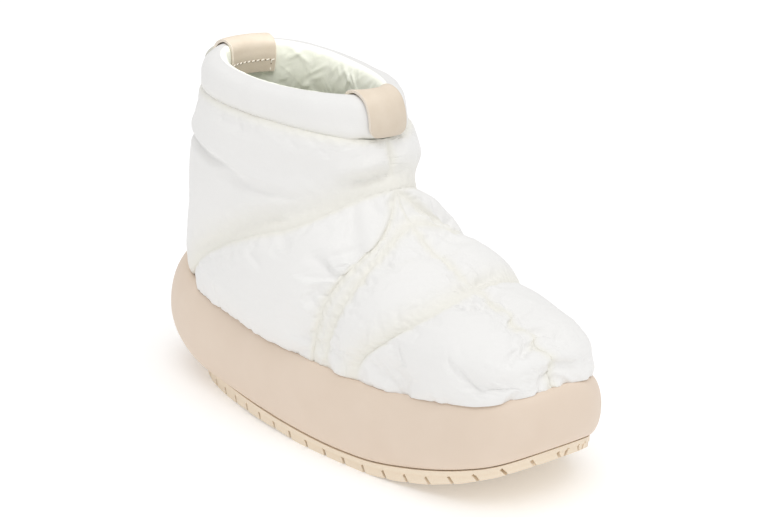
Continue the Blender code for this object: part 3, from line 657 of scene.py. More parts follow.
def channel_edge(side, width):
    """One edge of the strip up the back of the heel: the lines it starts and ends on, and where on them."""
    foot = feather_half(side)
    top = ring(collar_seam_z, side * np.linspace(np.pi, 0, ROUND_STEPS), SHAFT_CENTRE)
    found = []
    for line, back in ((foot, ROUND_STEPS // 3), (top, ROUND_STEPS // 4)):
        shares = run_of(line) / run_of(line)[-1]
        found += [line, np.interp(width / 2, np.abs(line[:back, 1]), shares[:back])]
    return found


def side_panels(side):
    """The panels of one side: each one's grid on the form, and how it is padded and gathered."""
    foot, channel_foot, top, channel_top = channel_edge(side, STAY_CHANNEL)
    seams = OUTER_SEAMS if side < 0 else INNER_SEAMS
    corner = feather_spot(foot, HEEL_CORNER_X)
    back_foot, front_foot = [feather_spot(foot, x) for x in seams.strip_foot]
    toe_foot = feather_spot(foot, seams.toe_foot)
    heel_hem = between(foot, channel_foot, corner, HEEL_STEPS)
    quarter_hem = between(foot, corner, back_foot, DIAGONAL_STEPS)
    strip_hem = between(foot, back_foot, front_foot, STRIP_STEPS)
    vamp_hem = between(foot, front_foot, toe_foot, VAMP_STEPS)
    toe_hem = between(foot, toe_foot, 1, TOE_STEPS)

    def marks(*rows):
        return [placed(row, side) for row in rows]

    throat, strip_top, toe_top = onto_form(marks(THROAT, STRIP_TOP, TOE_SEAM_TOP))
    toe_tip = toe_hem[-1]
    diagonal = seam([heel_hem[-1], *marks(*DIAGONAL_SEAM), throat], DIAGONAL_STEPS)
    strip_back = seam([quarter_hem[-1], *marks(*seams.strip_back), throat], PANEL_ROWS)
    strip_front = seam([strip_hem[-1], *marks(*seams.strip_front), strip_top], PANEL_ROWS)
    toe_seam = seam([vamp_hem[-1], *marks(*seams.toe), toe_top], PANEL_ROWS)
    strip_ridge = seam([throat, strip_top], STRIP_STEPS)
    vamp_ridge = seam([strip_top, *marks(*VAMP_RIDGE), toe_top], VAMP_STEPS)
    toe_ridge = seam([toe_top, *marks(*TOE_RIDGE), toe_tip], TOE_STEPS)
    swing = SWAY * np.sin(2 * np.pi * run_of(toe_ridge) / SWAY_LENGTH)
    toe_ridge[:, 1] += swing * np.sin(np.pi * np.linspace(0, 1, TOE_STEPS + 1)) ** SWAY_ENDS
    toe_ridge[1:-1] = onto_form(toe_ridge[1:-1])

    shaft_bottom = np.concatenate([heel_hem, diagonal[1:]])
    shares = channel_top + (1 - channel_top) * run_of(shaft_bottom) / run_of(shaft_bottom)[-1]
    shaft_top = at_shares(top, shares)
    back = seam([heel_hem[0], shaft_top[0]], PANEL_ROWS)
    front = seam([throat, shaft_top[-1]], PANEL_ROWS)
    still = np.repeat(heel_hem[-1:], PANEL_ROWS + 1, axis=0)
    tip = np.repeat(toe_tip[None], PANEL_ROWS + 1, axis=0)
    return [
        (coons(shaft_bottom, shaft_top, back, front), SHAFT_PANEL),
        (coons(quarter_hem, diagonal, still, strip_back), QUARTER_PANEL),
        (coons(strip_hem, strip_ridge, strip_back, strip_front), STRIP_PANEL),
        (coons(vamp_hem, vamp_ridge, strip_front, toe_seam), VAMP_PANEL),
        (coons(toe_hem, toe_ridge, toe_seam, tip), TOE_PANEL),
    ]


def back_strip(width, steps, foot_lift=0.0, top_drop=0.0):
    """The form under a strip up the back of the heel, from the feather line to the collar seam."""
    bottoms, tops = [], []
    for side in (-1, 1):
        foot, foot_share, top, top_share = channel_edge(side, width)
        bottoms.append(between(foot, foot_share, 0, steps // 2) + [0, 0, foot_lift])
        tops.append(between(top, top_share, 0, steps // 2) - [0, 0, top_drop])
    bottom = np.concatenate([bottoms[0], bottoms[1][-2::-1]])
    top = np.concatenate([tops[0], tops[1][-2::-1]])
    if foot_lift:
        bottom, top = onto_form(bottom), onto_form(top)
    edges = [seam([bottom[end], top[end]], PANEL_ROWS) for end in (0, -1)]
    return coons(bottom, top, *edges)


def hem_of(panels, strip):
    """The lower edge of the upper as a loop, from the back round the outer side to the toe and home."""
    halves = []
    middle = CHANNEL_STEPS // 2
    for index, strip_half in ((0, strip[0, middle::-1]), (1, strip[0, middle:])):
        shaft, *others = [grid for grid, _ in panels[index]]
        pieces = [strip_half, shaft[0, 1 : HEEL_STEPS + 1], *[grid[0, 1:] for grid in others]]
        halves.append(np.concatenate(pieces))
    outer, inner = halves
    return np.concatenate([outer, inner[-2:0:-1]])


def closed(loop):
    return np.concatenate([loop, loop[:1]])


def edge_distances(grid):
    """Distances over a panel from its left, right, bottom and top edge."""
    from_left = np.stack([run_of(row) for row in grid])
    from_bottom = np.stack([run_of(grid[:, c]) for c in range(grid.shape[1])], axis=1)
    return from_left, from_left[:, -1:] - from_left, from_bottom, from_bottom[-1:] - from_bottom


def puff_height(grid, puff):
    """Height of a panel's padding over the form."""
    s = np.linspace(0, 1, grid.shape[1])[None, :]
    t = np.linspace(0, 1, grid.shape[0])[:, None]
    height = puff.height * (1 - (1 - s) ** puff.left) * (1 - s**puff.right)
    return height * (1 - (1 - t) ** puff.bottom) * (1 - t**puff.top)


def puffed_cloth(panels):
    """The panels' cloth, blown up over its padding by simulation: each grid's way from the form."""
    points, quads, sewn, taut = [], [], [], []
    count = 0
    for grid, panel in panels:
        away = edge_distances(grid)
        normals = form_normal(grid)
        start = grid + normals * START_SHARE * puff_height(grid, panel.puff)[..., None]
        points.append(start.reshape(-1, 3))
        index = count + np.arange(grid[..., 0].size).reshape(grid.shape[:2])
        corners = [index[:-1, :-1], index[:-1, 1:], index[1:, 1:], index[1:, :-1]]
        facing = np.cross(grid[:-1, 1:] - grid[:-1, :-1], grid[1:, :-1] - grid[:-1, :-1])
        outwards = (facing * normals[:-1, :-1]).sum() > 0
        quads.append(np.stack(corners if outwards else corners[::-1], -1).reshape(-1, 4))
        held = [HOLD_STRENGTH * fading(far, reach) for far, reach in zip(away, panel.hold)]
        edge = np.min(away, axis=0)
        sewn.append(np.where(edge < SEWN_WITHIN, 1.0, np.max(held, axis=0)).ravel())
        sewn_in = (panel.left, panel.right, panel.bottom, panel.top)
        fuller = [full.share * np.exp(-far / full.reach) for full, far in zip(sewn_in, away)]
        taut.append(1 - (panel.ease + np.max(fuller, axis=0).ravel()) / MOST_FULL)
        count += index.size
    points = np.concatenate(points)
    _, kept, place = np.unique(points.round(4), axis=0, return_index=True, return_inverse=True)
    place = place.ravel()
    mesh = bpy.data.meshes.new("cloth")
    faces = [list(dict.fromkeys(quad)) for quad in place[np.concatenate(quads)].tolist()]
    mesh.from_pydata(to_frame(points[kept]).tolist(), [], [face for face in faces if len(face) > 2])
    cloth = set_down("cloth", mesh)
    for name, weights in (("sewn", np.concatenate(sewn)), ("taut", np.concatenate(taut))):
        group = cloth.vertex_groups.new(name=name)
        levels = np.round(WEIGHT_LEVELS * weights[kept]).astype(int)
        for level in range(1, WEIGHT_LEVELS + 1):
            group.add(np.flatnonzero(levels == level).tolist(), level / WEIGHT_LEVELS, "REPLACE")
    simulation = cloth.modifiers.new("Cloth", "CLOTH")
    simulation.collision_settings.use_collision = False
    simulation.collision_settings.use_self_collision = False
    simulation.settings.effector_weights.gravity = 0
    for key, value in {
        "quality": 6, "mass": 0.1, "air_damping": 2, "tension_stiffness": 8, "compression_stiffness": 8,
        "shear_stiffness": 4, "bending_stiffness": 0.12, "vertex_group_mass": "sewn", "pin_stiffness": 1,
        "use_pressure": True, "uniform_pressure_force": 6, "vertex_group_shrink": "taut",
        "shrink_min": -MOST_FULL, "shrink_max": 0,
    }.items():
        setattr(simulation.settings, key, value)
    for frame_number in range(1, CLOTH_FRAMES + 1):
        bpy.context.scene.frame_set(frame_number)
    blown = settled(cloth).data
    spots = np.empty(3 * len(blown.vertices))
    blown.vertices.foreach_get("co", spots)
    spots = (spots.reshape(-1, 3) / MM - SEAT)[place]
    bpy.data.objects.remove(cloth)
    bpy.context.scene.frame_set(1)
    ways, first = [], 0
    for grid, _ in panels:
        size = grid[..., 0].size
        ways.append(spots[first : first + size].reshape(grid.shape) - grid)
        first += size
    return ways


def doubled(field):
    """A field over a grid, on twice as many steps each way, with cubic midpoints."""
    for axis in (0, 1):
        field = np.moveaxis(field, axis, 0)
        wide = np.concatenate([2 * field[:1] - field[1:2], field, 2 * field[-1:] - field[-2:-1]])
        finer = np.empty((2 * len(field) - 1, *field.shape[1:]))
        finer[::2] = field
        finer[1::2] = (9 * (field[:-1] + field[1:]) - wide[:-3] - wide[3:]) / 16
        field = np.moveaxis(finer, 0, axis)
    return field


def evened(field, rounds=40):
    """A field over a grid with its fine variation smoothed out."""
    for _ in range(rounds):
        for axis in (0, 1):
            wide = np.concatenate([field.take([0], axis), field, field.take([-1], axis)], axis)
            before, after = [wide.take(range(k, k + field.shape[axis]), axis) for k in (0, 2)]
            field = field / 2 + (before + after) / 4
    return field


def lumpy(points, lumps):
    """Height of uneven filling at each point."""
    spots = map(Vector, points.reshape(-1, 3))
    heights = [sum(lump.height * noise.noise(spot / lump.length) for lump in lumps) for spot in spots]
    return np.reshape(heights, points.shape[:-1])


def paired(line):
    """Every second point of a line, given twice, to meet a line with all of its points."""
    return np.repeat(line[::2], 2, axis=0)[1:]


# Creases that the cloth holds: their line, depth, width, the swelling beside them and the way to that side.
# One of negative depth stands out instead. They run out near a seam.
CREASE_CLEAR = 1.5
CREASE_STEPS = 40
CREASE_MARGIN = 5.0  # how far from its line it is worked out, in its widths
CREASE_TAPER = 0.7  # how bluntly it ends
# The swelling beside it: how far off it lies and how wide it is, in widths of the trough
SWELL_OFFSET = 2.0
SWELL_WIDTH = 1.4
Crease = namedtuple("Crease", "line depth width swell towards")
UP = (0, 0, 1)
AHEAD = (1, 0, 0)
CREASES = [
    # across the outer side of the shaft, two long ones
    Crease([(-121, -12, 137), (-114, -24, 137), (-104, -33, 136), (-86.6, -45.5, 133.4),
            (-72.5, -47.7, 131.3), (-59.4, -48, 130.4), (-48.8, -48, 127.3), (-38.8, -47, 125.2)],
           3.2, 2.8, 1.5, UP),
    Crease([(-68.1, -48.3, 126.9), (-54.8, -48.3, 125), (-41.8, -47.8, 123), (-26.7, -45.7, 122.9),
            (-8.1, -40.2, 124.1), (1.8, -35, 124.9)], 2.0, 3.0, 1.2, UP),
    # a soft fold under the collar
    Crease([(-90, -38, 157), (-70, -40, 154.5), (-45.4, -39.4, 151.5), (-25, -37, 149)], 1.0, 2.6, 0.7, UP),
    # round the front of the shaft, over the throat
    Crease([(10, -29, 131.5), (14, -24, 132.5), (18.9, -16.7, 133.8), (21.8, -9.6, 135.2), (22.4, 0.7, 135.6),
            (21, 7, 135)], 4.2, 3.2, 2.0, UP),
    # the swell of the shaft on the inner side, down to the seam
    Crease([(21, 2, 145), (18, 10, 143), (11, 20, 140), (2, 28, 137), (-12, 35, 133)], -3.2, 8.0, 0.0, UP),
    # a pad below it on the inner side
    Crease([(32, 3, 126), (30, 14, 124), (24, 26, 119), (14, 36, 112)], -2.4, 7.0, 0.0, UP),
    # from the corner of the heel
    Crease([(-103, -40.5, 71), (-74.2, -46.4, 85), (-54.1, -48, 93.7)], 0.9, 2.0, 0.6, UP),
    Crease([(-91.4, -42.4, 70.8), (-57.4, -53.7, 81.9), (-40.6, -54.5, 89.7)], 0.9, 2.4, 0.5, UP),
    # a trough above the diagonal seam, and a fold along it
    Crease([(-66, -46, 91), (-45, -47.5, 101), (-22, -46, 111.5), (-4, -40, 119), (10, -31, 125.5)],
           2.8, 4.0, 1.2, UP),
    Crease([(-28.7, -47.2, 108.8), (-18.9, -45.3, 110.8), (-9.2, -42.2, 111.5)], 0.9, 1.6, 0.5, UP),
    # the same trough on the inner side, and two short folds beside the heel stay
    Crease([(-84, 44, 78), (-62, 46, 90), (-38, 47, 101), (-14, 44, 112), (8, 30, 123)], 2.2, 4.0, 0.9, UP),
    Crease([(-126, 16, 130), (-120, 24, 130.5), (-110, 32, 129.5)], 1.2, 1.8, 0.6, UP),
    Crease([(-130, 17, 99), (-124, 27, 99.5), (-114, 36, 98)], 1.2, 1.8, 0.6, UP),
    # from the ruched strip back over the quarter
    Crease([(23, -44.7, 100.9), (29.4, -37.2, 104.2), (33.2, -27.8, 106.8)], 0.9, 1.8, 0.5, UP),
    # over the inner side of the vamp
    Crease([(31.8, 4.7, 121), (33.5, 14.9, 115.8), (40.6, 23.5, 106.5)], 1.4, 2.4, 0.7, AHEAD),
    Crease([(40.7, 4, 112.9), (44.8, 12.2, 109.7), (55, 19.2, 104.6)], 1.2, 2.4, 0.6, AHEAD),
    # star of folds where the seams cross behind the toe
    Crease([(88, -6, 91), (83, 4, 93), (79.8, 14.9, 94), (75.7, 26.3, 92)], 2.2, 2.6, 1.0, AHEAD),
    Crease([(89, -5, 91), (84, -8, 92), (78, -10, 94)], 1.6, 2.0, 0.7, UP),
    Crease([(90, -6, 91), (96, -12, 89), (103, -16, 87)], 1.4, 2.2, 0.6, UP),
    Crease([(91, -3, 91), (99, 4, 88.5), (108, 9, 86)], 1.4, 2.4, 0.6, AHEAD),
    # ruching along the middle of the toe
    Crease([(104, -4, 87), (112, -10, 85), (118, -15, 82)], 1.0, 2.0, 0.5, AHEAD),
    Crease([(118, -3, 82.5), (123, -9, 80), (127, -14, 77)], 1.0, 1.8, 0.5, AHEAD),
    Crease([(127, -3, 77), (131, -8, 73), (133, -13, 69)], 1.0, 1.8, 0.5, AHEAD),
    Crease([(120, 3, 82), (126, 9, 79), (129, 15, 75)], 0.9, 2.0, 0.5, AHEAD),
]


def crease_depth(points, normals, crease):
    """How far a crease moves each point of the cloth in or out."""
    line = smooth_path(crease.line, CREASE_STEPS)
    margin = CREASE_MARGIN * crease.width
    near = np.flatnonzero(((points > line.min(0) - margin) & (points < line.max(0) + margin)).all(1))
    spots, headings = points[near], normals[near]
    nearest = [np.argmin(((spots - spot) ** 2).sum(1)) for spot in line]
    line = line + headings[nearest] * ((spots[nearest] - line) * headings[nearest]).sum(1)[:, None]
    away = np.full(len(near), np.inf)
    share = np.zeros(len(near))
    offset = np.zeros((len(near), 3))
    for k, (start, end) in enumerate(zip(line[:-1], line[1:])):
        along = np.clip((spots - start) @ (end - start) / ((end - start) ** 2).sum(), 0, 1)
        gap = spots - start - along[:, None] * (end - start)
        far = np.linalg.norm(gap, axis=1)
        closer = far < away
        away = np.where(closer, far, away)
        share = np.where(closer, (k + along) / (len(line) - 1), share)
        offset = np.where(closer[:, None], gap, offset)
    signed = away * np.sign(offset @ np.array(crease.towards, float))
    taper = np.sin(np.pi * np.clip(share, 0, 1)) ** CREASE_TAPER
    trough = fading(away, crease.width)
    ridge = fading(signed - SWELL_OFFSET * crease.width, SWELL_WIDTH * crease.width)
    depth = np.zeros(len(points))
    depth[near] = taper * (crease.swell * ridge - crease.depth * trough)
    return depth


# Nylon taffeta over filling: matt and nearly white. Down in the seams its colour is painted a little warmer,
# as painted light for the light that collects there between the puffs. The weave is 0.3 mm in the cloth and
# is drawn at 1.1 mm so that it shows.
WEAVE_SPACING = 1.1
WAVE_BANDS = 20 / (2 * np.pi)  # bands to a metre in the wave texture, at a scale of 1
taffeta = finish(
    "Padded nylon taffeta", {"Roughness": 0.62, "Sheen Weight": 0.15, "Sheen Roughness": 0.4, "IOR": 1.45},
    ("#F0EFED", "#F4F3F1"), size=40, detail=2.0,
)
nylon, tree = taffeta.material, taffeta.tree
# painted light: near the seams the colour is mixed towards a warmer cream, for the light that collects in
# their troughs
near_seam = add_node(tree, "ShaderNodeAttribute", {"attribute_name": "seam"})
painted_warm_seams = add_node(tree, "ShaderNodeMix", {"data_type": "RGBA"}, {
    0: near_seam.outputs["Fac"], 6: taffeta.tint, 7: linear("#F1EFE7"),
})
tree.links.new(painted_warm_seams.outputs[2], taffeta.shader.inputs["Base Color"])
warp, weft = [
    add_node(tree, "ShaderNodeTexWave", {"bands_direction": way}, {
        "Vector": taffeta.place, "Scale": 1 / (WAVE_BANDS * WEAVE_SPACING * MM),
    }).outputs[1]
    for way in ("X", "Z")
]
weave = add_node(tree, "ShaderNodeMath", {"operation": "MULTIPLY"}, {0: warp, 1: weft})
crumple = add_node(tree, "ShaderNodeTexNoise", None, {
    "Vector": taffeta.place, "Scale": 1 / (6 * MM), "Detail": 4.0, "Roughness": 0.6, "Distortion": 0.8,
})
weave_bump = add_node(tree, "ShaderNodeBump", None, {
    "Height": weave.outputs[0], "Strength": 0.05, "Distance": 0.2 * MM,
})
crumple_bump = add_node(tree, "ShaderNodeBump", None, {
    "Height": crumple.outputs[0], "Strength": 0.22, "Distance": 1.2 * MM, "Normal": weave_bump.outputs[0],
})
tree.links.new(crumple_bump.outputs[0], taffeta.shader.inputs["Normal"])

# Brushed polyester lining: soft, pale grey-green and quite dull
brushed = finish(
    "Brushed polyester lining", {"Roughness": 0.85, "Sheen Weight": 0.2, "Sheen Roughness": 0.6},
    ("#EFF1E1", "#F8F9EF"), size=14, detail=4.0,
)
lining_cloth, tree = brushed.material, brushed.tree
nap = add_node(tree, "ShaderNodeTexNoise", None, {
    "Vector": brushed.place, "Scale": 1 / (1.2 * MM), "Detail": 3.0,
})
nap_bump = add_node(tree, "ShaderNodeBump", None, {
    "Height": nap.outputs[0], "Strength": 0.2, "Distance": 0.3 * MM,
})
tree.links.new(nap_bump.outputs[0], brushed.shader.inputs["Normal"])

panels = [side_panels(-1), side_panels(1)]
channel = back_strip(STAY_CHANNEL, CHANNEL_STEPS)
hem = hem_of(panels, channel)
both_sides = [*panels[0], *panels[1]]
ways = puffed_cloth([(grid[::2, ::2], panel) for grid, panel in both_sides])
cloth = []
for (grid, panel), way in zip(both_sides, ways):
    normals = form_normal(grid)
    away = edge_distances(grid)
    *_, off_hem, off_top = away
    edge = np.min(away, axis=0)
    way = doubled(way)
    bulge = (way * normals).sum(-1)
    over = np.clip(evened(bulge - puff_height(grid, panel.puff)), 0, None)
    out = BULGE_LIMIT * np.tanh(over / BULGE_LIMIT) - over
    out += (1 - fading(edge, LUMPS_CLEAR)) * lumpy(grid, CLOTH_LUMPS)
    way += normals * out[..., None]
    way[0], way[-1], way[:, 0], way[:, -1] = 0, 0, 0, 0
    at_hem = ramp(grid[..., 2] - feather_z(grid[..., 0]), *HEM_RUN) * (1 - fading(off_hem, HEM_START))
    rolled = (HEM_ROLL + TOE_ROLL * ramp(grid[..., 0], *TOE_ROLL_RUN)) * (1 + lumpy(grid[0], HEM_SCALLOPS))
    out = rolled * at_hem * fading(off_hem, HEM_ROLL_REACH)
    if panel is SHAFT_PANEL:
        beside_stay = ramp(np.abs(grid[..., 1]), STAY_CHANNEL / 2, STAY_CHANNEL / 2 + STAY_SIDE)
        out += SEAM_LIFT * beside_stay * fading(off_top, SEAM_LIFT_REACH)
        swell = fading(off_hem, HEEL_SWELL_REACH) * (1 - fading(off_hem, HEEL_SWELL_FOOT))
        out += HEEL_SWELL * beside_stay * ramp(grid[..., 0], *HEEL_SWELL_RUN) * swell
    way += normals * out[..., None]
    way[..., 2] -= HEM_SAG * at_hem * fading(off_hem, HEM_SAG_REACH)
    points = grid + way
    hem_floor = np.minimum(feather_z(points[..., 0]), grid[:1, :, 2])
    hem_floor = hem_floor + HEM_REST * (1 - np.exp(-off_hem / HEM_START))
    points[..., 2] = np.maximum(points[..., 2], hem_floor)
    # painted light: the cloth is painted warmer near its seams, where light collects between the puffs
    painted_seam_light = np.max([fading(far, reach + PAINTED_SEAM_LIGHT_MARGIN) for far, reach in zip(away, panel.hold)], axis=0)
    cloth.append((grid, normals, points, edge, painted_seam_light))
bare = np.zeros(channel.shape[:2])
cloth.append((channel, form_normal(channel), channel, bare, bare))
shell = np.concatenate([points.reshape(-1, 3) for _, _, points, _, _ in cloth])
shell_normals = np.concatenate([normals.reshape(-1, 3) for _, normals, *_ in cloth])
shell_edge = np.concatenate([edge.ravel() for *_, edge, _ in cloth])
moved = sum(crease_depth(shell, shell_normals, crease) for crease in CREASES)
shell = shell + shell_normals * (moved * (1 - fading(shell_edge, CREASE_CLEAR)))[:, None]
upper_skin = Skin()
first = 0
for grid, normals, _, edge, painted_seam_light in cloth:
    upper_skin.add(shell[first : first + edge.size].reshape(grid.shape), 0, painted_seam_light)
    upper_skin.add((grid - normals * WALL)[::2, ::2], 1)
    first += edge.size
    # what ends at the collar gets its top edge closed
    if grid[-1, 0, 2] > THROAT.z + OVER_THROAT:
        top = shell[first - grid.shape[1] : first]
        upper_skin.add(np.stack([top, paired(grid[-1] - normals[-1] * WALL)]), 1)
hem_inside = hem - form_normal(hem) * WALL
foot_outside, foot_inside = hem.copy(), hem_inside.copy()
foot_outside[:, 2] = footbed_z(hem[:, 0]) + SEAT_GAP
foot_inside[:, 2] = footbed_z(hem[:, 0]) + SEAT_GAP
upper_skin.add(np.stack([closed(hem), closed(foot_outside), paired(closed(foot_inside))]), 1)
upper_skin.add(np.stack([closed(loop[::2]) for loop in (foot_inside, hem_inside)]), 1)
upper = put_together("upper_shell", upper_skin, nylon, lining_cloth, crisp=100)
fitted(upper, "padded_nylon", "upper")


# Collar: a tube of the same nylon, stuffed with fibre and sewn round the top of the shaft. It is gathered a
# little where it is sewn, lumpy on its outside, and drawn flat under the pull loops.
COLLAR_TOP_LINE = [Line(-125, 184), Line(-95, 180), Line(-50, 175.5), Line(20, 173.5)]
# Its section, from the sewn edge up the outside, over the rim and down the inside
Band = namedtuple("Band", "rise out")
COLLAR_BAND = [
    Band(0.0, -0.5), Band(0.12, 1.8), Band(0.36, 3.2), Band(0.63, 3.2), Band(0.85, 1.6), Band(0.97, -1.6),
    Band(1.0, -4.8), Band(0.92, -8.2), Band(0.65, -10.0), Band(0.3, -10.4), Band(0.0, -10.2),
]
COLLAR_STEPS = 320
COLLAR_ROWS = 56
# Gathers along its sewn edge: from fold to fold, how far they run out from it, and how high they stand
Gather = namedtuple("Gather", "spacing length height")
COLLAR_GATHER = Gather(8, 9, 0.3)
# Least and most of each gather's size, width, lean and way to the next, as shares
GatherRange = namedtuple("GatherRange", "size width lean step")
GATHER_RANGE = GatherRange(size=(0.35, 1.3), width=(0.22, 0.4), lean=(-0.4, 0.4), step=(0.55, 1.5))
GATHER_PEAK = 0.3  # where along its length it is highest
GATHER_SPREAD = 0.2  # how much wider it grows over that length
COLLAR_LUMPS = [Lump(0.9, 22), Lump(0.3, 8)]
COLLAR_SLACK = 0.2  # how far the cloth lies in between its lumps
COLLAR_CREST = 5.0  # from the crest of the rim to where the lumps are whole
COLLAR_SEWN = 2.5  # from the sewn edge to where the cloth comes free of it
COLLAR_LIFT_REACH = 5.0
BESIDE_LOOP = (1.0, 7.0)  # from a loop's edge to where the lumps start, and to where they are whole
FRONT_LOOP_WIDTH = 22.5
REAR_LOOP_WIDTH = 29.0
collar_top_z = column(COLLAR_TOP_LINE, "x", "z")


def band_z(rise, x):
    """Height of the collar band over x, at a share of its rise."""
    return collar_seam_z(x) + SEAT_GAP + rise * (collar_top_z(x) - collar_seam_z(x))


def band_sections(rows, angles, steps):
    """A band's sections at the given angles round the shaft: their points, and headings out of the band."""
    lines = []
    for row in rows:
        spots = ring(partial(band_z, row.rise), angles, SHAFT_CENTRE)
        lines.append(spots + unit(form_normal(spots) * [1, 1, 0]) * row.out)
    paths = np.array([smooth_path(points, steps) for points in np.stack(lines, axis=1)])
    sideways = np.stack([np.sin(angles), -np.cos(angles), 0 * angles], -1)[:, None]
    return paths, unit(np.cross(np.gradient(paths, axis=1), sideways))


def gathered(along, away, gather, chance):
    """Small folds that run out from a sewn edge, each at its own place, lean and size."""
    total = np.zeros(away.shape)
    spot = chance.uniform(0, gather.spacing)
    while spot < along.max():
        size = chance.uniform(*GATHER_RANGE.size)
        peak = GATHER_PEAK * gather.length * size
        width = gather.spacing * chance.uniform(*GATHER_RANGE.width) * (1 + GATHER_SPREAD * away / peak)
        sideways = along - spot - chance.uniform(*GATHER_RANGE.lean) * away
        total += gather.height * size * fading(sideways, width) * away / peak * np.exp(1 - away / peak)
        spot += gather.spacing * chance.uniform(*GATHER_RANGE.step)
    return total


def beside_loops(points):
    """0 under the pull loops, rising to 1 beside them."""
    half = np.where(points[..., 0] > SHAFT_CENTRE, FRONT_LOOP_WIDTH, REAR_LOOP_WIDTH) / 2
    return ramp(np.abs(points[..., 1]) - half, *BESIDE_LOOP)


chance = np.random.default_rng(7)
round_turn = np.linspace(-np.pi, np.pi, COLLAR_STEPS + 1)
sections, outward = band_sections(COLLAR_BAND, round_turn, COLLAR_ROWS)
up_band = np.stack([run_of(path) for path in sections])
round_band = np.broadcast_to(run_of(sections[:, 0])[:, None], up_band.shape)
folds = gathered(round_band, up_band, COLLAR_GATHER, chance)
lumps = lumpy(sections[:-1], COLLAR_LUMPS)
lumps = np.concatenate([lumps, lumps[:1]])
from_sewn = np.minimum(up_band, up_band[:, -1:] - up_band)
clear = beside_loops(sections)
crest = up_band[:, np.argmax(sections[0, :, 2])][:, None]
outside = ramp(crest - up_band, 0, COLLAR_CREST)
stuffed = (lumps + folds - COLLAR_SLACK) * clear * outside * (1 - fading(from_sewn, COLLAR_SEWN))
stuffed += SEAM_LIFT * clear * fading(up_band, COLLAR_LIFT_REACH)
stuffed[-1] = stuffed[0]
sections = sections + outward * stuffed[..., None]
sections[-1] = sections[0]
collar_skin = Skin()
# painted light: the collar is painted warmer near its sewn edges, where light collects in the seams
painted_seam_light = np.exp(-np.pad(from_sewn, ((0, 0), (0, 1))) / COLLAR_SEWN)
collar_skin.add(np.concatenate([sections, sections[:, :1]], axis=1), 0, painted_seam_light)
collar = put_together("collar_roll", collar_skin, nylon, crisp=75)
fitted(collar, "padded_nylon", "collar")


# Lining: one round of the brushed cloth, sewn in at the rim and held lower down by the quilting, so that it
# lies on the inside of the collar and the shaft in loose slanting creases.
LINING_BAND = [*COLLAR_BAND[6:], Band(-0.5, -8.6), Band(-1.1, -6.2), Band(-1.9, -5.2)]
LINING_ROWS = 72
LINING_LIFT = 0.12
LINING_THICKNESS = 0.3
LINING_CRINKLES = 420
# Least and most of each crinkle's lean, length, width and height, and how high they stand where they cross
Crinkle = namedtuple("Crinkle", "lean length width height")
CRINKLE = Crinkle(lean=(0.4, 1.2), length=(3, 9), width=(0.9, 1.7), height=(0.2, 0.65))
CRINKLE_LIMIT = 1.3
LINING_SEWN = 4.0  # from its edges to where the crinkles are whole
# At the rim its edge is tucked into the collar
TUCK_DEPTH = 0.6
TUCK_REACH = 1.5


def crinkled(along, down, count, chance):
    """Height of short slanting creases, scattered over a cloth."""
    total = np.zeros(down.shape)
    for _ in range(count):
        right = along - chance.uniform(along.min(), along.max())
        below = down - chance.uniform(down.min(), down.max())
        lean = chance.choice([-1, 1]) * chance.uniform(*CRINKLE.lean)
        length, width = chance.uniform(*CRINKLE.length), chance.uniform(*CRINKLE.width)
        lengthways = right * np.cos(lean) + below * np.sin(lean)
        across = below * np.cos(lean) - right * np.sin(lean)
        total += chance.uniform(*CRINKLE.height) * fading(lengthways, length) * fading(across, width)
    return total


strands, inward = band_sections(LINING_BAND, round_turn, LINING_ROWS)
down = np.stack([run_of(path) for path in strands])
round_rim = np.broadcast_to(run_of(strands[:, 0])[:, None], down.shape)
creased = np.minimum(crinkled(round_rim, down, LINING_CRINKLES, chance), CRINKLE_LIMIT)
creased *= beside_loops(strands) * (1 - fading(np.minimum(down, down[:, -1:] - down), LINING_SEWN))
creased[-1] = creased[0]
lift = LINING_LIFT + creased - TUCK_DEPTH * fading(down, TUCK_REACH)
inner_face = strands + inward * (lift + LINING_THICKNESS)[..., None]
outer_face = strands + inward * lift[..., None]
inner_face[-1], outer_face[-1] = inner_face[0], outer_face[0]
lining_skin = Skin()
lining_skin.add(np.concatenate([inner_face, outer_face[:, ::-1], inner_face[:, :1]], axis=1))
lining = put_together("lining", lining_skin, lining_cloth)
fitted(lining, "padded_nylon")


# Pull loops: two straps of smooth leather, sewn to the collar's outside and turned over its rim to the
# inside, with cut edges and rounded lower corners.
STRAP_THICKNESS = 1.7
STRAP_CORNER = 4.5
LOOP_START = 2.5  # along the band from its sewn edge to the loop's lower end
LOOP_SPREAD = np.radians(40.0)  # how much of the band either side is looked at for a loop's bed
LOOP_STIFFNESS = 0.15  # share of the band's roundness that a loop bridges
LOOP_LIFT = 0.2  # how much further it stands off the rim than off the band's sides
FRONT_LOOP_REACH = 0.8  # share of the band that each loop goes round
REAR_LOOP_REACH = 0.97
BED_COLUMNS = 41
BED_ROWS = 60
LOOP_COLUMNS = 36
LOOP_ROWS = 84
# A strap's edge from one face to the other: how far in from the rim, as a share of its rounding, and how far
# through the leather. Two layers are glued back to back, with a fine groove between them.
EDGE_ROUNDING = 0.45
Rim = namedtuple("Rim", "inset through")
STRAP_EDGE = [
    Rim(1, 0), Rim(0.3, 0.06), Rim(0, 0.2), Rim(0.05, 0.42), Rim(0.8, 0.5), Rim(0.05, 0.58), Rim(0, 0.8),
    Rim(0.3, 0.94), Rim(1, 1),
]


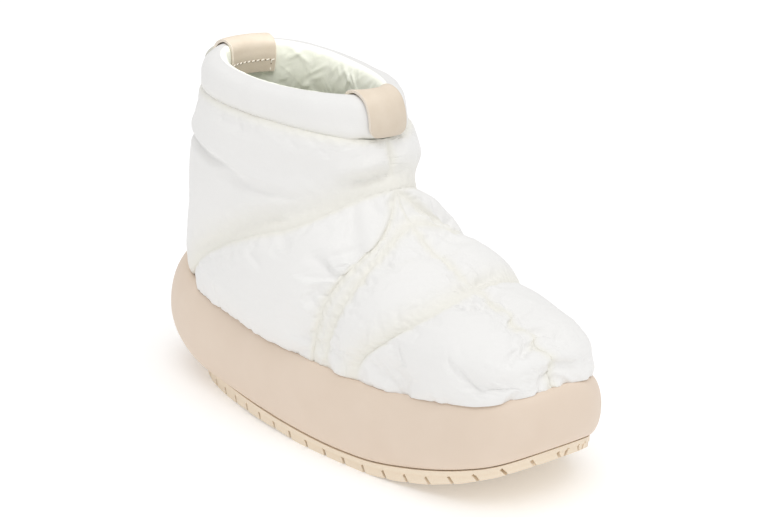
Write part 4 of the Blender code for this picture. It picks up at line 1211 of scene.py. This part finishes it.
def loop_bed(ahead, offsets):
    """The bed of a loop on the band, at even offsets from the boot's middle plane, and its headings."""
    turns = np.linspace(-LOOP_SPREAD, LOOP_SPREAD, BED_COLUMNS) + (0.0 if ahead else np.pi)
    strips, facing = band_sections(COLLAR_BAND, turns, BED_ROWS)
    if not ahead:
        strips, facing = strips[::-1], facing[::-1]
    bed = np.empty((len(offsets), *strips.shape[1:]))
    headings = np.empty(bed.shape)
    for row in range(strips.shape[1]):
        for k in range(3):
            bed[:, row, k] = np.interp(offsets, strips[:, row, 1], strips[:, row, k])
            headings[:, row, k] = np.interp(offsets, strips[:, row, 1], facing[:, row, k])
    along = headings[len(offsets) // 2]
    level = (bed * along).sum(-1)
    bed += LOOP_STIFFNESS * (level.max(axis=0) - level)[..., None] * along
    return bed, headings + along


def loop_faces(ahead, width, reach):
    """Under and upper face of a loop: its gap to the band grows from the sewn ends to the rim."""
    half = width / 2
    offsets = np.linspace(-half, half, LOOP_COLUMNS + 1)
    under, over = [], []
    for offset, path, out in zip(offsets, *loop_bed(ahead, offsets)):
        beyond = max(abs(offset) - (half - STRAP_CORNER), 0)
        corner = STRAP_CORNER - np.sqrt(STRAP_CORNER**2 - beyond**2)
        run = run_of(path)
        want = np.linspace(LOOP_START + corner, run[-1] * reach, LOOP_ROWS + 1)
        place = at_runs(path, run, want)
        heading = unit(at_runs(out, run, want))
        share = (want - want[0]) / (want[-1] - want[0])
        gap = 2 * SEAT_GAP + LOOP_LIFT * np.sin(np.pi * share) ** 2
        under.append(place + heading * gap[:, None])
        over.append(place + heading * (gap + STRAP_THICKNESS)[:, None])
    return np.array(under), np.array(over)


def drawn_in(grid, by):
    """A grid with its outermost points moved in over its surface."""
    for _ in range(2):
        grid = grid.copy()
        for edge, inside in ((0, 1), (-1, -2)):
            grid[edge] += by * unit(grid[inside] - grid[edge])
        grid = grid.swapaxes(0, 1)
    return grid


def rim_of(grid):
    return np.concatenate([grid[:-1, 0], grid[-1, :-1], grid[:0:-1, -1], grid[0, :0:-1]])


def strap(name, under, over):
    """A leather strap between two faces, with its cut edges in their own finish."""
    faces = [under, over]
    inside = [drawn_in(face, EDGE_ROUNDING) for face in faces]
    skin = Skin()
    skin.add(inside[0])
    skin.add(inside[1])
    low, high = [[rim_of(face), rim_of(drawn)] for face, drawn in zip(faces, inside)]
    loops = []
    for row in STRAP_EDGE:
        below, above = [(1 - row.inset) * outer + row.inset * inner for outer, inner in (low, high)]
        loops.append(closed((1 - row.through) * below + row.through * above))
    skin.add(np.stack(loops), 1)
    return put_together(name, skin, strap_leather, cut_edge, crisp=40)


# Smooth finished leather: a fine pebbled grain of 0.9 mm, an even shine and a cloudy tone
smooth = finish(
    "Smooth strap leather", {"Roughness": 0.5, "IOR": 1.48}, ("#D3C4B0", "#E0D3C2"), size=7, detail=4.0
)
strap_leather, tree = smooth.material, smooth.tree
cells = add_node(tree, "ShaderNodeTexVoronoi", {"feature": "DISTANCE_TO_EDGE"}, {
    "Vector": smooth.place, "Scale": 1 / (0.9 * MM),
})
grain = add_node(tree, "ShaderNodeBump", None, {
    "Height": cells.outputs[0], "Strength": 0.25, "Distance": 0.15 * MM,
})
tree.links.new(grain.outputs[0], smooth.shader.inputs["Normal"])

# Painted cut edge: lighter and duller than the leather's face
cut_edge = finish(
    "Cut leather edge", {"Roughness": 0.75}, ("#E2D6C6", "#EFE6DA"), size=0.6, detail=3.0
).material

front_loop = strap("front_loop_strap", *loop_faces(True, FRONT_LOOP_WIDTH, FRONT_LOOP_REACH))
fitted(front_loop, "strap_leather", "front_pull_loop")
rear_under, rear_over = loop_faces(False, REAR_LOOP_WIDTH, REAR_LOOP_REACH)
rear_loop = strap("rear_loop_strap", rear_under, rear_over)
fitted(rear_loop, "strap_leather", "rear_pull_loop")


# Heel stay: a strip of the same leather over the bare channel up the heel, from the sole's rim to the
# collar's seam. It is sewn down at its edges, which are cut as those of the loops are.
STAY_WIDTH = 23.0
STAY_CLEAR = 3.5  # from the feather line up to its lower end
STAY_DROP = 1.5  # from the collar's seam down to its upper end
STAY_GAP = 0.5
STAY_STEPS = 24
stay_form = back_strip(STAY_WIDTH, STAY_STEPS, STAY_CLEAR, STAY_DROP)
stay_normals = form_normal(stay_form)
stay_under = stay_form + stay_normals * STAY_GAP
heel_stay = strap("heel_stay", stay_under, stay_under + stay_normals * STRAP_THICKNESS)
fitted(heel_stay, "strap_leather", "back_stay")


# Insole: a loose footbed of pressed felt that lies on the floor of the recess, inside the upper. It stops a
# little short of the wall, and its top edge is bevelled.
INSOLE_THICKNESS = 5.0
INSOLE_CLEARANCE = 0.6
INSOLE_BEVEL = 1.4  # in from its edge, round the top
INSOLE_BEVEL_DEPTH = 1.2


def plan_normals(loop):
    """Outward headings of a closed loop, seen from above."""
    along = np.roll(loop, -1, axis=0) - np.roll(loop, 1, axis=0)
    heading = unit(np.stack([along[:, 1], -along[:, 0]], -1))
    way = np.sign((heading * (loop[:, :2] - loop[:, :2].mean(0))).sum())
    return np.concatenate([heading * way, np.zeros((len(loop), 1))], axis=1)


def moved_out(loop, distance, height):
    """A loop moved outwards in plan, at a height that may depend on x."""
    spread = loop + plan_normals(loop) * np.broadcast_to(distance, (len(loop),))[:, None]
    spread[:, 2] = height(spread[:, 0]) if callable(height) else height
    return spread


def ladder(loop):
    """Rungs from one side of a loop to the other, which close it."""
    half = len(loop) // 2
    return np.stack([loop[: half + 1], np.roll(loop, -1, axis=0)[::-1][: half + 1]], axis=1)


# Pressed felt: matt and fibrous, in the lining's pale grey-green
felt = finish(
    "Pressed felt", {"Roughness": 0.95, "Sheen Weight": 0.3, "Sheen Roughness": 0.7},
    ("#D3D9C6", "#E9EEDF"), size=1.5, detail=5.0, distortion=1.5, relief=(0.5, 0.4),
).material

inset = -(WALL + INSOLE_CLEARANCE)
bed = moved_out(hem, inset, footbed_z(hem[:, 0]) + SEAT_GAP)
shoulder = bed + [0, 0, INSOLE_THICKNESS - INSOLE_BEVEL_DEPTH]
crown = moved_out(bed, -INSOLE_BEVEL, bed[:, 2] + INSOLE_THICKNESS)
insole_skin = Skin()
insole_skin.add(np.stack([closed(loop) for loop in (bed, shoulder, crown)]))
insole_skin.add(ladder(bed))
insole_skin.add(ladder(crown))
insole = put_together("felt_insole", insole_skin, felt, crisp=80)
fitted(insole, "felt_footbed", "insole")


# Midsole: a thick light core wrapped in smooth leather, drawn over a bulging side and a rolled rim into the
# recess that takes the upper. The wrap's two ends meet in upright seams on the inner side.
OUTSOLE_TOP_LINE = [
    Line(-130, 17.5), Line(-118, 11.5), Line(-104, 8.2), Line(-67, 7.6), Line(-31, 8.3), Line(6, 7.2),
    Line(44, 6.4), Line(63, 7.2), Line(82, 9.8), Line(100, 13.6), Line(119, 18.8), Line(134, 24),
    Line(147, 31.5),
]
Edge = namedtuple("Edge", "x overhang undercut")
SOLE_EDGE = [
    Edge(-136, 19, 30), Edge(-120, 18, 23), Edge(-95, 15, 15.5), Edge(-50, 11.5, 8), Edge(0, 10.5, 5),
    Edge(50, 10.5, 5), Edge(110, 11, 5.5), Edge(140, 12, 7),
]
BULGE_LEVEL = 0.5  # height of the widest part, from the lower edge to the rim
LIP_DEPTH = 2.0
# Rows of the rolled rim, from its crest in to the upper: share of the overhang, drop below the rim
Roll = namedtuple("Roll", "share drop")
RIM_ROLL = [Roll(0.36, -1.0), Roll(0.27, -0.9), Roll(0.17, -0.4), Roll(0.11, 0.3), Roll(0.06, 1.4)]
SIDE_RINGS = 14
TOP_RINGS = 12
WRAP_SEAMS = (-44.5, -36.0)
WRAP_GROOVE = 0.7
WRAP_GROOVE_WIDTH = 0.6
WRAP_GROOVE_REACH = 2.0  # either side of a seam, where the mesh is finer
WRAP_GROOVE_STEPS = 16
WRAP_SIDE = 20.0  # across the boot, beyond which the inner side has the seams
overhang = column(SOLE_EDGE, "x", "overhang")
undercut = column(SOLE_EDGE, "x", "undercut")
outsole_top_z = column(OUTSOLE_TOP_LINE, "x", "z")


def midsole_rings(loop):
    """Loops of the midsole from its lower edge up the bulging side and over the rim to the recess floor."""
    reach, under = overhang(loop[:, 0]), undercut(loop[:, 0])
    rim = feather_z(loop[:, 0])
    lower = moved_out(loop, reach - under, lambda x: outsole_top_z(x) + SEAT_GAP)
    bulge = lower[:, 2] + BULGE_LEVEL * (rim - lower[:, 2])
    rings = [lower]
    for angle in np.linspace(0, np.pi / 2, SIDE_RINGS + 1)[1:]:
        level = bulge - (bulge - lower[:, 2]) * np.cos(angle)
        rings.append(moved_out(loop, reach - under * (1 - np.sin(angle)), level))
    crest = RIM_ROLL[0]
    for angle in np.linspace(0, np.pi / 2, TOP_RINGS + 1)[1:]:
        back = reach * (1 - crest.share) * (1 - np.cos(angle))
        rings.append(moved_out(loop, reach - back, bulge + (rim - crest.drop - bulge) * np.sin(angle)))
    for row in RIM_ROLL[1:]:
        rings.append(moved_out(loop, np.maximum(reach * row.share, SEAT_GAP), rim - row.drop))
    rings.append(moved_out(loop, SEAT_GAP, rim - RIM_ROLL[-1].drop - LIP_DEPTH))
    rings.append(moved_out(loop, SEAT_GAP, footbed_z(loop[:, 0])))
    return rings


# Wrapped leather: smooth, matt to satin, with a fine grain and faint cloudy tone
wrapped = finish(
    "Smooth wrapped leather", {"Roughness": 0.52, "IOR": 1.47}, ("#E2CFBC", "#EAD9C8"), size=22, detail=4.0
)
sole_leather, tree = wrapped.material, wrapped.tree
cells = add_node(tree, "ShaderNodeTexVoronoi", {"feature": "DISTANCE_TO_EDGE"}, {
    "Vector": wrapped.place, "Scale": 1 / (1.0 * MM),
})
grain = add_node(tree, "ShaderNodeBump", None, {
    "Height": cells.outputs[0], "Strength": 0.15, "Distance": 0.15 * MM,
})
wavy = add_node(tree, "ShaderNodeBump", None, {
    "Height": wrapped.mottle, "Strength": 0.12, "Distance": 2.0 * MM, "Normal": grain.outputs[0],
})
tree.links.new(wavy.outputs[0], wrapped.shader.inputs["Normal"])

# The loop gets extra points beside the two seams of the wrap, for their grooves
hem_run = run_of(closed(hem))
hem_shares = (hem_run / hem_run[-1])[:-1]
inner_side = np.arange(len(hem)) > len(hem) // 2
shares = [hem_shares]
for x in WRAP_SEAMS:
    middle = np.interp(x, hem[inner_side][::-1, 0], hem_shares[inner_side][::-1])
    beside = np.linspace(-WRAP_GROOVE_REACH, WRAP_GROOVE_REACH, WRAP_GROOVE_STEPS + 1)
    shares.append(middle + beside / hem_run[-1])
sole_loop = at_shares(closed(hem), np.unique(np.concatenate(shares)))
sole_loop = sole_loop[: len(sole_loop) // 2 * 2]
rings = np.stack([closed(loop) for loop in midsole_rings(sole_loop)])
groove = sum(fading(rings[..., 0] - x, WRAP_GROOVE_WIDTH) for x in WRAP_SEAMS)
groove = groove * (rings[..., 1] > WRAP_SIDE) * WRAP_GROOVE
groove[-2:] = 0
rings[..., 1] -= groove
midsole_skin = Skin()
midsole_skin.add(rings)
midsole_skin.add(ladder(rings[0, :-1]))
midsole_skin.add(ladder(rings[-1, :-1]))
midsole = put_together("wrapped_midsole", midsole_skin, sole_leather, crisp=70)
fitted(midsole, "wrapped_leather", "midsole")


# Outsole: a moulded tread of cream rubber, cemented under the midsole and standing a little proud of it, with
# slots let into its edge: leaning ones round the outer side and the toe, and pairs along the inner side.
TREAD_LINE = [
    Line(-130, 11.5), Line(-118, 5), Line(-104, 0.8), Line(-98, 0), Line(-58, 0), Line(-40, 1.2),
    Line(-5, 1.2), Line(12, 0), Line(62, 0), Line(82, 2.2), Line(100, 6), Line(119, 12), Line(134, 18),
    Line(147, 25),
]
OUTSOLE_PROUD = 1.5
# Below a plain band the edge steps back to the lugs
LUG_BAND = 2.6
LUG_SETBACK = 0.7
LUG_STEP = 0.2
LUG_PITCH = 14.0
OUTSOLE_CRISP = 35
SLOT_SIZE = Vector((9.0, 8.4, 1.6))  # in from the edge, up and along it
SLOT_LEAN = np.radians(25)
PAIR_OFFSET = 7.0  # on the inner side, from a slot to the one that leans against it
PAIR_STOP = 3  # how many such offsets before the back of the heel they stop
PAIR_PATH_STEPS = 199


def tread_z(x):
    return np.interp(x, [row.x for row in TREAD_LINE], [row.z for row in TREAD_LINE])


def row_tree():
    """Geometry nodes that set blocks or beads along a curve, one to each pitch, all with one lean."""
    tree = bpy.data.node_groups.new("Set in a row", "GeometryNodeTree")
    faces = tree.interface
    faces.new_socket("Geometry", in_out="OUTPUT", socket_type="NodeSocketGeometry")
    for name, kind in (("Geometry", "Geometry"), ("Pitch", "Float"), ("Size", "Vector"), ("Lean", "Float"),
                       ("Round", "Bool"), ("Material", "Material")):
        faces.new_socket(name, in_out="INPUT", socket_type="NodeSocket" + kind)
    given = add_node(tree, "NodeGroupInput").outputs
    stops = add_node(tree, "GeometryNodeCurveToPoints", {"mode": "LENGTH"}, {
        "Curve": given["Geometry"], "Length": given["Pitch"],
    })
    tilt = add_node(tree, "ShaderNodeCombineXYZ", None, {"X": given["Lean"]})
    lean = add_node(tree, "FunctionNodeEulerToRotation", None, {"Euler": tilt.outputs[0]})
    turn = add_node(tree, "FunctionNodeRotateRotation", {"rotation_space": "LOCAL"}, {
        "Rotation": stops.outputs["Rotation"], "Rotate By": lean.outputs[0],
    })
    block = add_node(tree, "GeometryNodeMeshCube", None, {"Size": (1, 1, 1)})
    bead = add_node(tree, "GeometryNodeMeshUVSphere", None, {"Segments": 8, "Rings": 6, "Radius": 0.5})
    shape = add_node(tree, "GeometryNodeSwitch", {"input_type": "GEOMETRY"}, {
        "Switch": given["Round"], "False": block.outputs["Mesh"], "True": bead.outputs["Mesh"],
    })
    sized = add_node(tree, "GeometryNodeTransform", None, {
        "Geometry": shape.outputs[0], "Scale": given["Size"],
    })
    row = add_node(tree, "GeometryNodeInstanceOnPoints", None, {
        "Points": stops.outputs["Points"], "Instance": sized.outputs[0], "Rotation": turn.outputs[0],
    })
    real = add_node(tree, "GeometryNodeRealizeInstances", None, {"Geometry": row.outputs[0]})
    dyed = add_node(tree, "GeometryNodeSetMaterial", None, {
        "Geometry": real.outputs[0], "Material": given["Material"],
    })
    add_node(tree, "NodeGroupOutput", None, {"Geometry": dyed.outputs[0]})
    return tree


def set_in_a_row(name, path, cyclic, sizes):
    """The plain mesh of a row along a path; sizes holds the row's named inputs."""
    curve = bpy.data.curves.new(name, "CURVE")
    curve.dimensions = "3D"
    curve.twist_mode = "Z_UP"
    spline = curve.splines.new("POLY")
    spline.points.add(len(path) - 1)
    spline.points.foreach_set("co", np.concatenate([to_frame(path), np.ones((len(path), 1))], 1).ravel())
    spline.use_cyclic_u = cyclic
    guide = set_down(name + "_guide", curve)
    row = guide.modifiers.new("Row", "NODES")
    row.node_group = in_a_row
    for socket in in_a_row.interface.items_tree:
        if socket.in_out == "INPUT" and socket.name in sizes:
            row[socket.identifier] = sizes[socket.name]
    graph = bpy.context.evaluated_depsgraph_get()
    mesh = bpy.data.meshes.new_from_object(guide.evaluated_get(graph))
    bpy.data.objects.remove(guide)
    return set_down(name, mesh)


# Moulded rubber: matt cream, with a fine even sandblast from the mould
rubber = finish(
    "Moulded cream rubber", {"Roughness": 0.65, "IOR": 1.5},
    ("#F1DFC6", "#F8EAD6"), size=0.8, detail=4.0, relief=(0.25, 0.15),
).material

in_a_row = row_tree()
bond = midsole_rings(hem)[0] - [0, 0, SEAT_GAP]
lug_out = OUTSOLE_PROUD - LUG_SETBACK
top_edge = moved_out(bond, OUTSOLE_PROUD, bond[:, 2])
band_edge = moved_out(bond, OUTSOLE_PROUD, bond[:, 2] - LUG_BAND)
lug_edge = moved_out(bond, lug_out, bond[:, 2] - LUG_BAND - LUG_STEP)
tread_edge = moved_out(bond, lug_out, tread_z)
outsole_skin = Skin()
outsole_skin.add(np.stack([closed(loop) for loop in (bond, top_edge, band_edge, lug_edge, tread_edge)]))
outsole_skin.add(ladder(bond))
outsole_skin.add(ladder(tread_edge))
outsole = put_together("lugged_outsole", outsole_skin, rubber, crisp=OUTSOLE_CRISP)
inner_edge = closed(tread_edge)[len(tread_edge) // 2 :]
beyond = PAIR_OFFSET / run_of(inner_edge)[-1]
rows = (
    (tread_edge, True, SLOT_LEAN),
    (between(inner_edge, beyond, 1 - PAIR_STOP * beyond, PAIR_PATH_STEPS), False, -SLOT_LEAN),
)
for path, cyclic, lean in rows:
    slots = set_in_a_row("tread_slots", path, cyclic, {
        "Pitch": LUG_PITCH * MM, "Size": SLOT_SIZE * MM, "Lean": lean, "Round": False, "Material": rubber,
    })
    cut_out(outsole, slots)
outsole.data.shade_smooth()
outsole.data.set_sharp_from_angle(angle=np.radians(OUTSOLE_CRISP))
fitted(outsole, "cream_rubber", "outsole")


# Stitching of the rear loop: slanting stitches of cream thread across its inside, and a row down beside its
# edge, each between two needle holes.
STITCH_PITCH = 2.7
STITCH_SIZE = Vector((0.7, 0.75, 2.1)) * MM
STITCH_LEAN = np.radians(28)
STITCH_DROP = 13.5  # below the top of the loop
HOLE_SIZE = Vector((0.5, 0.8, 0.8)) * MM
HOLE_PATH_STEPS = 59
# Steps of the loop's mesh from its edges to the line across, and from an edge to the row beside it
LINE_INSET = 2
ROW_INSET = 3

# Bonded polyester thread: cream, with the soft shine of its waxed twist
thread = finish(
    "Bonded polyester thread", {"Roughness": 0.6, "Sheen Weight": 0.2},
    ("#F0E8DA", "#FAF6EC"), size=0.4, detail=2.0,
).material

# Needle hole: a dark bead, the painted shade down in the hole
needle_hole_shade = finish(
    "Painted needle hole shade", {"Roughness": 0.9}, ("#6E5D48", "#8A7860"), size=0.4, detail=2.0
).material

inside_loop = rear_over[:, LOOP_ROWS // 2 :]
middle_line = inside_loop[LOOP_COLUMNS // 2, :, 2]
level = np.argmin(np.abs(middle_line - (middle_line.max() - STITCH_DROP)))
stitching = []
stitch_lines = (
    ("rear_loop_stitches", inside_loop[LINE_INSET:-LINE_INSET, level], STITCH_LEAN),
    ("rear_loop_edge_stitches", inside_loop[-1 - ROW_INSET, level + LINE_INSET : -ROW_INSET], 0.0),
)
for name, path, lean in stitch_lines:
    stitches = set_in_a_row(name, path, False, {
        "Pitch": STITCH_PITCH * MM, "Size": STITCH_SIZE, "Lean": lean, "Round": True, "Material": thread,
    })
    stitching.append(fitted(stitches, "strap_leather"))
    half_pitch = STITCH_PITCH / 2 / run_of(path)[-1]
    hole_path = between(path, half_pitch, 1 - half_pitch, HOLE_PATH_STEPS)
    # dark beads between the stitches: painted shade of the needle holes
    holes = set_in_a_row(name + "_holes", hole_path, False, {
        "Pitch": STITCH_PITCH * MM, "Size": HOLE_SIZE, "Lean": 0.0, "Round": True, "Material": needle_hole_shade,
    })
    stitching.append(fitted(holes, "strap_leather"))


# Floor and light: a wide pale floor under a broad overhead light, with white walls all round. The floor glows
# a little, so that it stays white beside the boot.
FLOOR_HALF = 3000.0
WALL_LIGHT = 0.64
floor_skin = Skin()
floor_skin.add([[(-FLOOR_HALF, -FLOOR_HALF, 0), (FLOOR_HALF, -FLOOR_HALF, 0)],
                [(-FLOOR_HALF, FLOOR_HALF, 0), (FLOOR_HALF, FLOOR_HALF, 0)]])
paper = finish(
    "White studio paper",
    {"Roughness": 0.9, "Specular IOR Level": 0.1, "Emission Color": (1, 1, 1, 1), "Emission Strength": 0.15},
    ("#F8F8F8", "#FBFBFB"), size=60, detail=2.0,
).material
floor = put_together("studio_floor", floor_skin, paper)

world = bpy.data.worlds.new("White walls")
world.use_nodes = True
walls = world.node_tree.nodes["Background"]
walls.inputs["Color"].default_value = (1, 1, 1, 1)
walls.inputs["Strength"].default_value = WALL_LIGHT
bpy.context.scene.world = world
for name, energy, spread, way in (
    ("overhead", 1.05, 55, (-0.34, 0.16, -1.0)),
    ("back light", 0.2, 70, (0.2, -0.6, -1.0)),
):
    lamp = bpy.data.lights.new(name, "SUN")
    lamp.energy = energy
    lamp.angle = np.radians(spread)
    set_down(name, lamp).rotation_euler = looking(way)
# A small soft spot into the mouth, for what lies inside it
spot_lamp = bpy.data.lights.new("mouth fill", "SPOT")
spot_lamp.energy = 3.0
spot_lamp.spot_size = np.radians(36)
spot_lamp.spot_blend = 1.0
spot_lamp.shadow_soft_size = 60 * MM
mouth_fill = set_down("mouth fill", spot_lamp)
mouth_fill.location = to_frame((110, -70, 430))
mouth_fill.rotation_euler = looking((-200, 85, -265))
inside_mouth = bpy.data.collections.new("Inside the mouth")
for piece in (lining, rear_loop, front_loop, insole, *stitching):
    inside_mouth.objects.link(piece)
mouth_fill.light_linking.receiver_collection = inside_mouth
bpy.context.scene.view_settings.view_transform = "Standard"
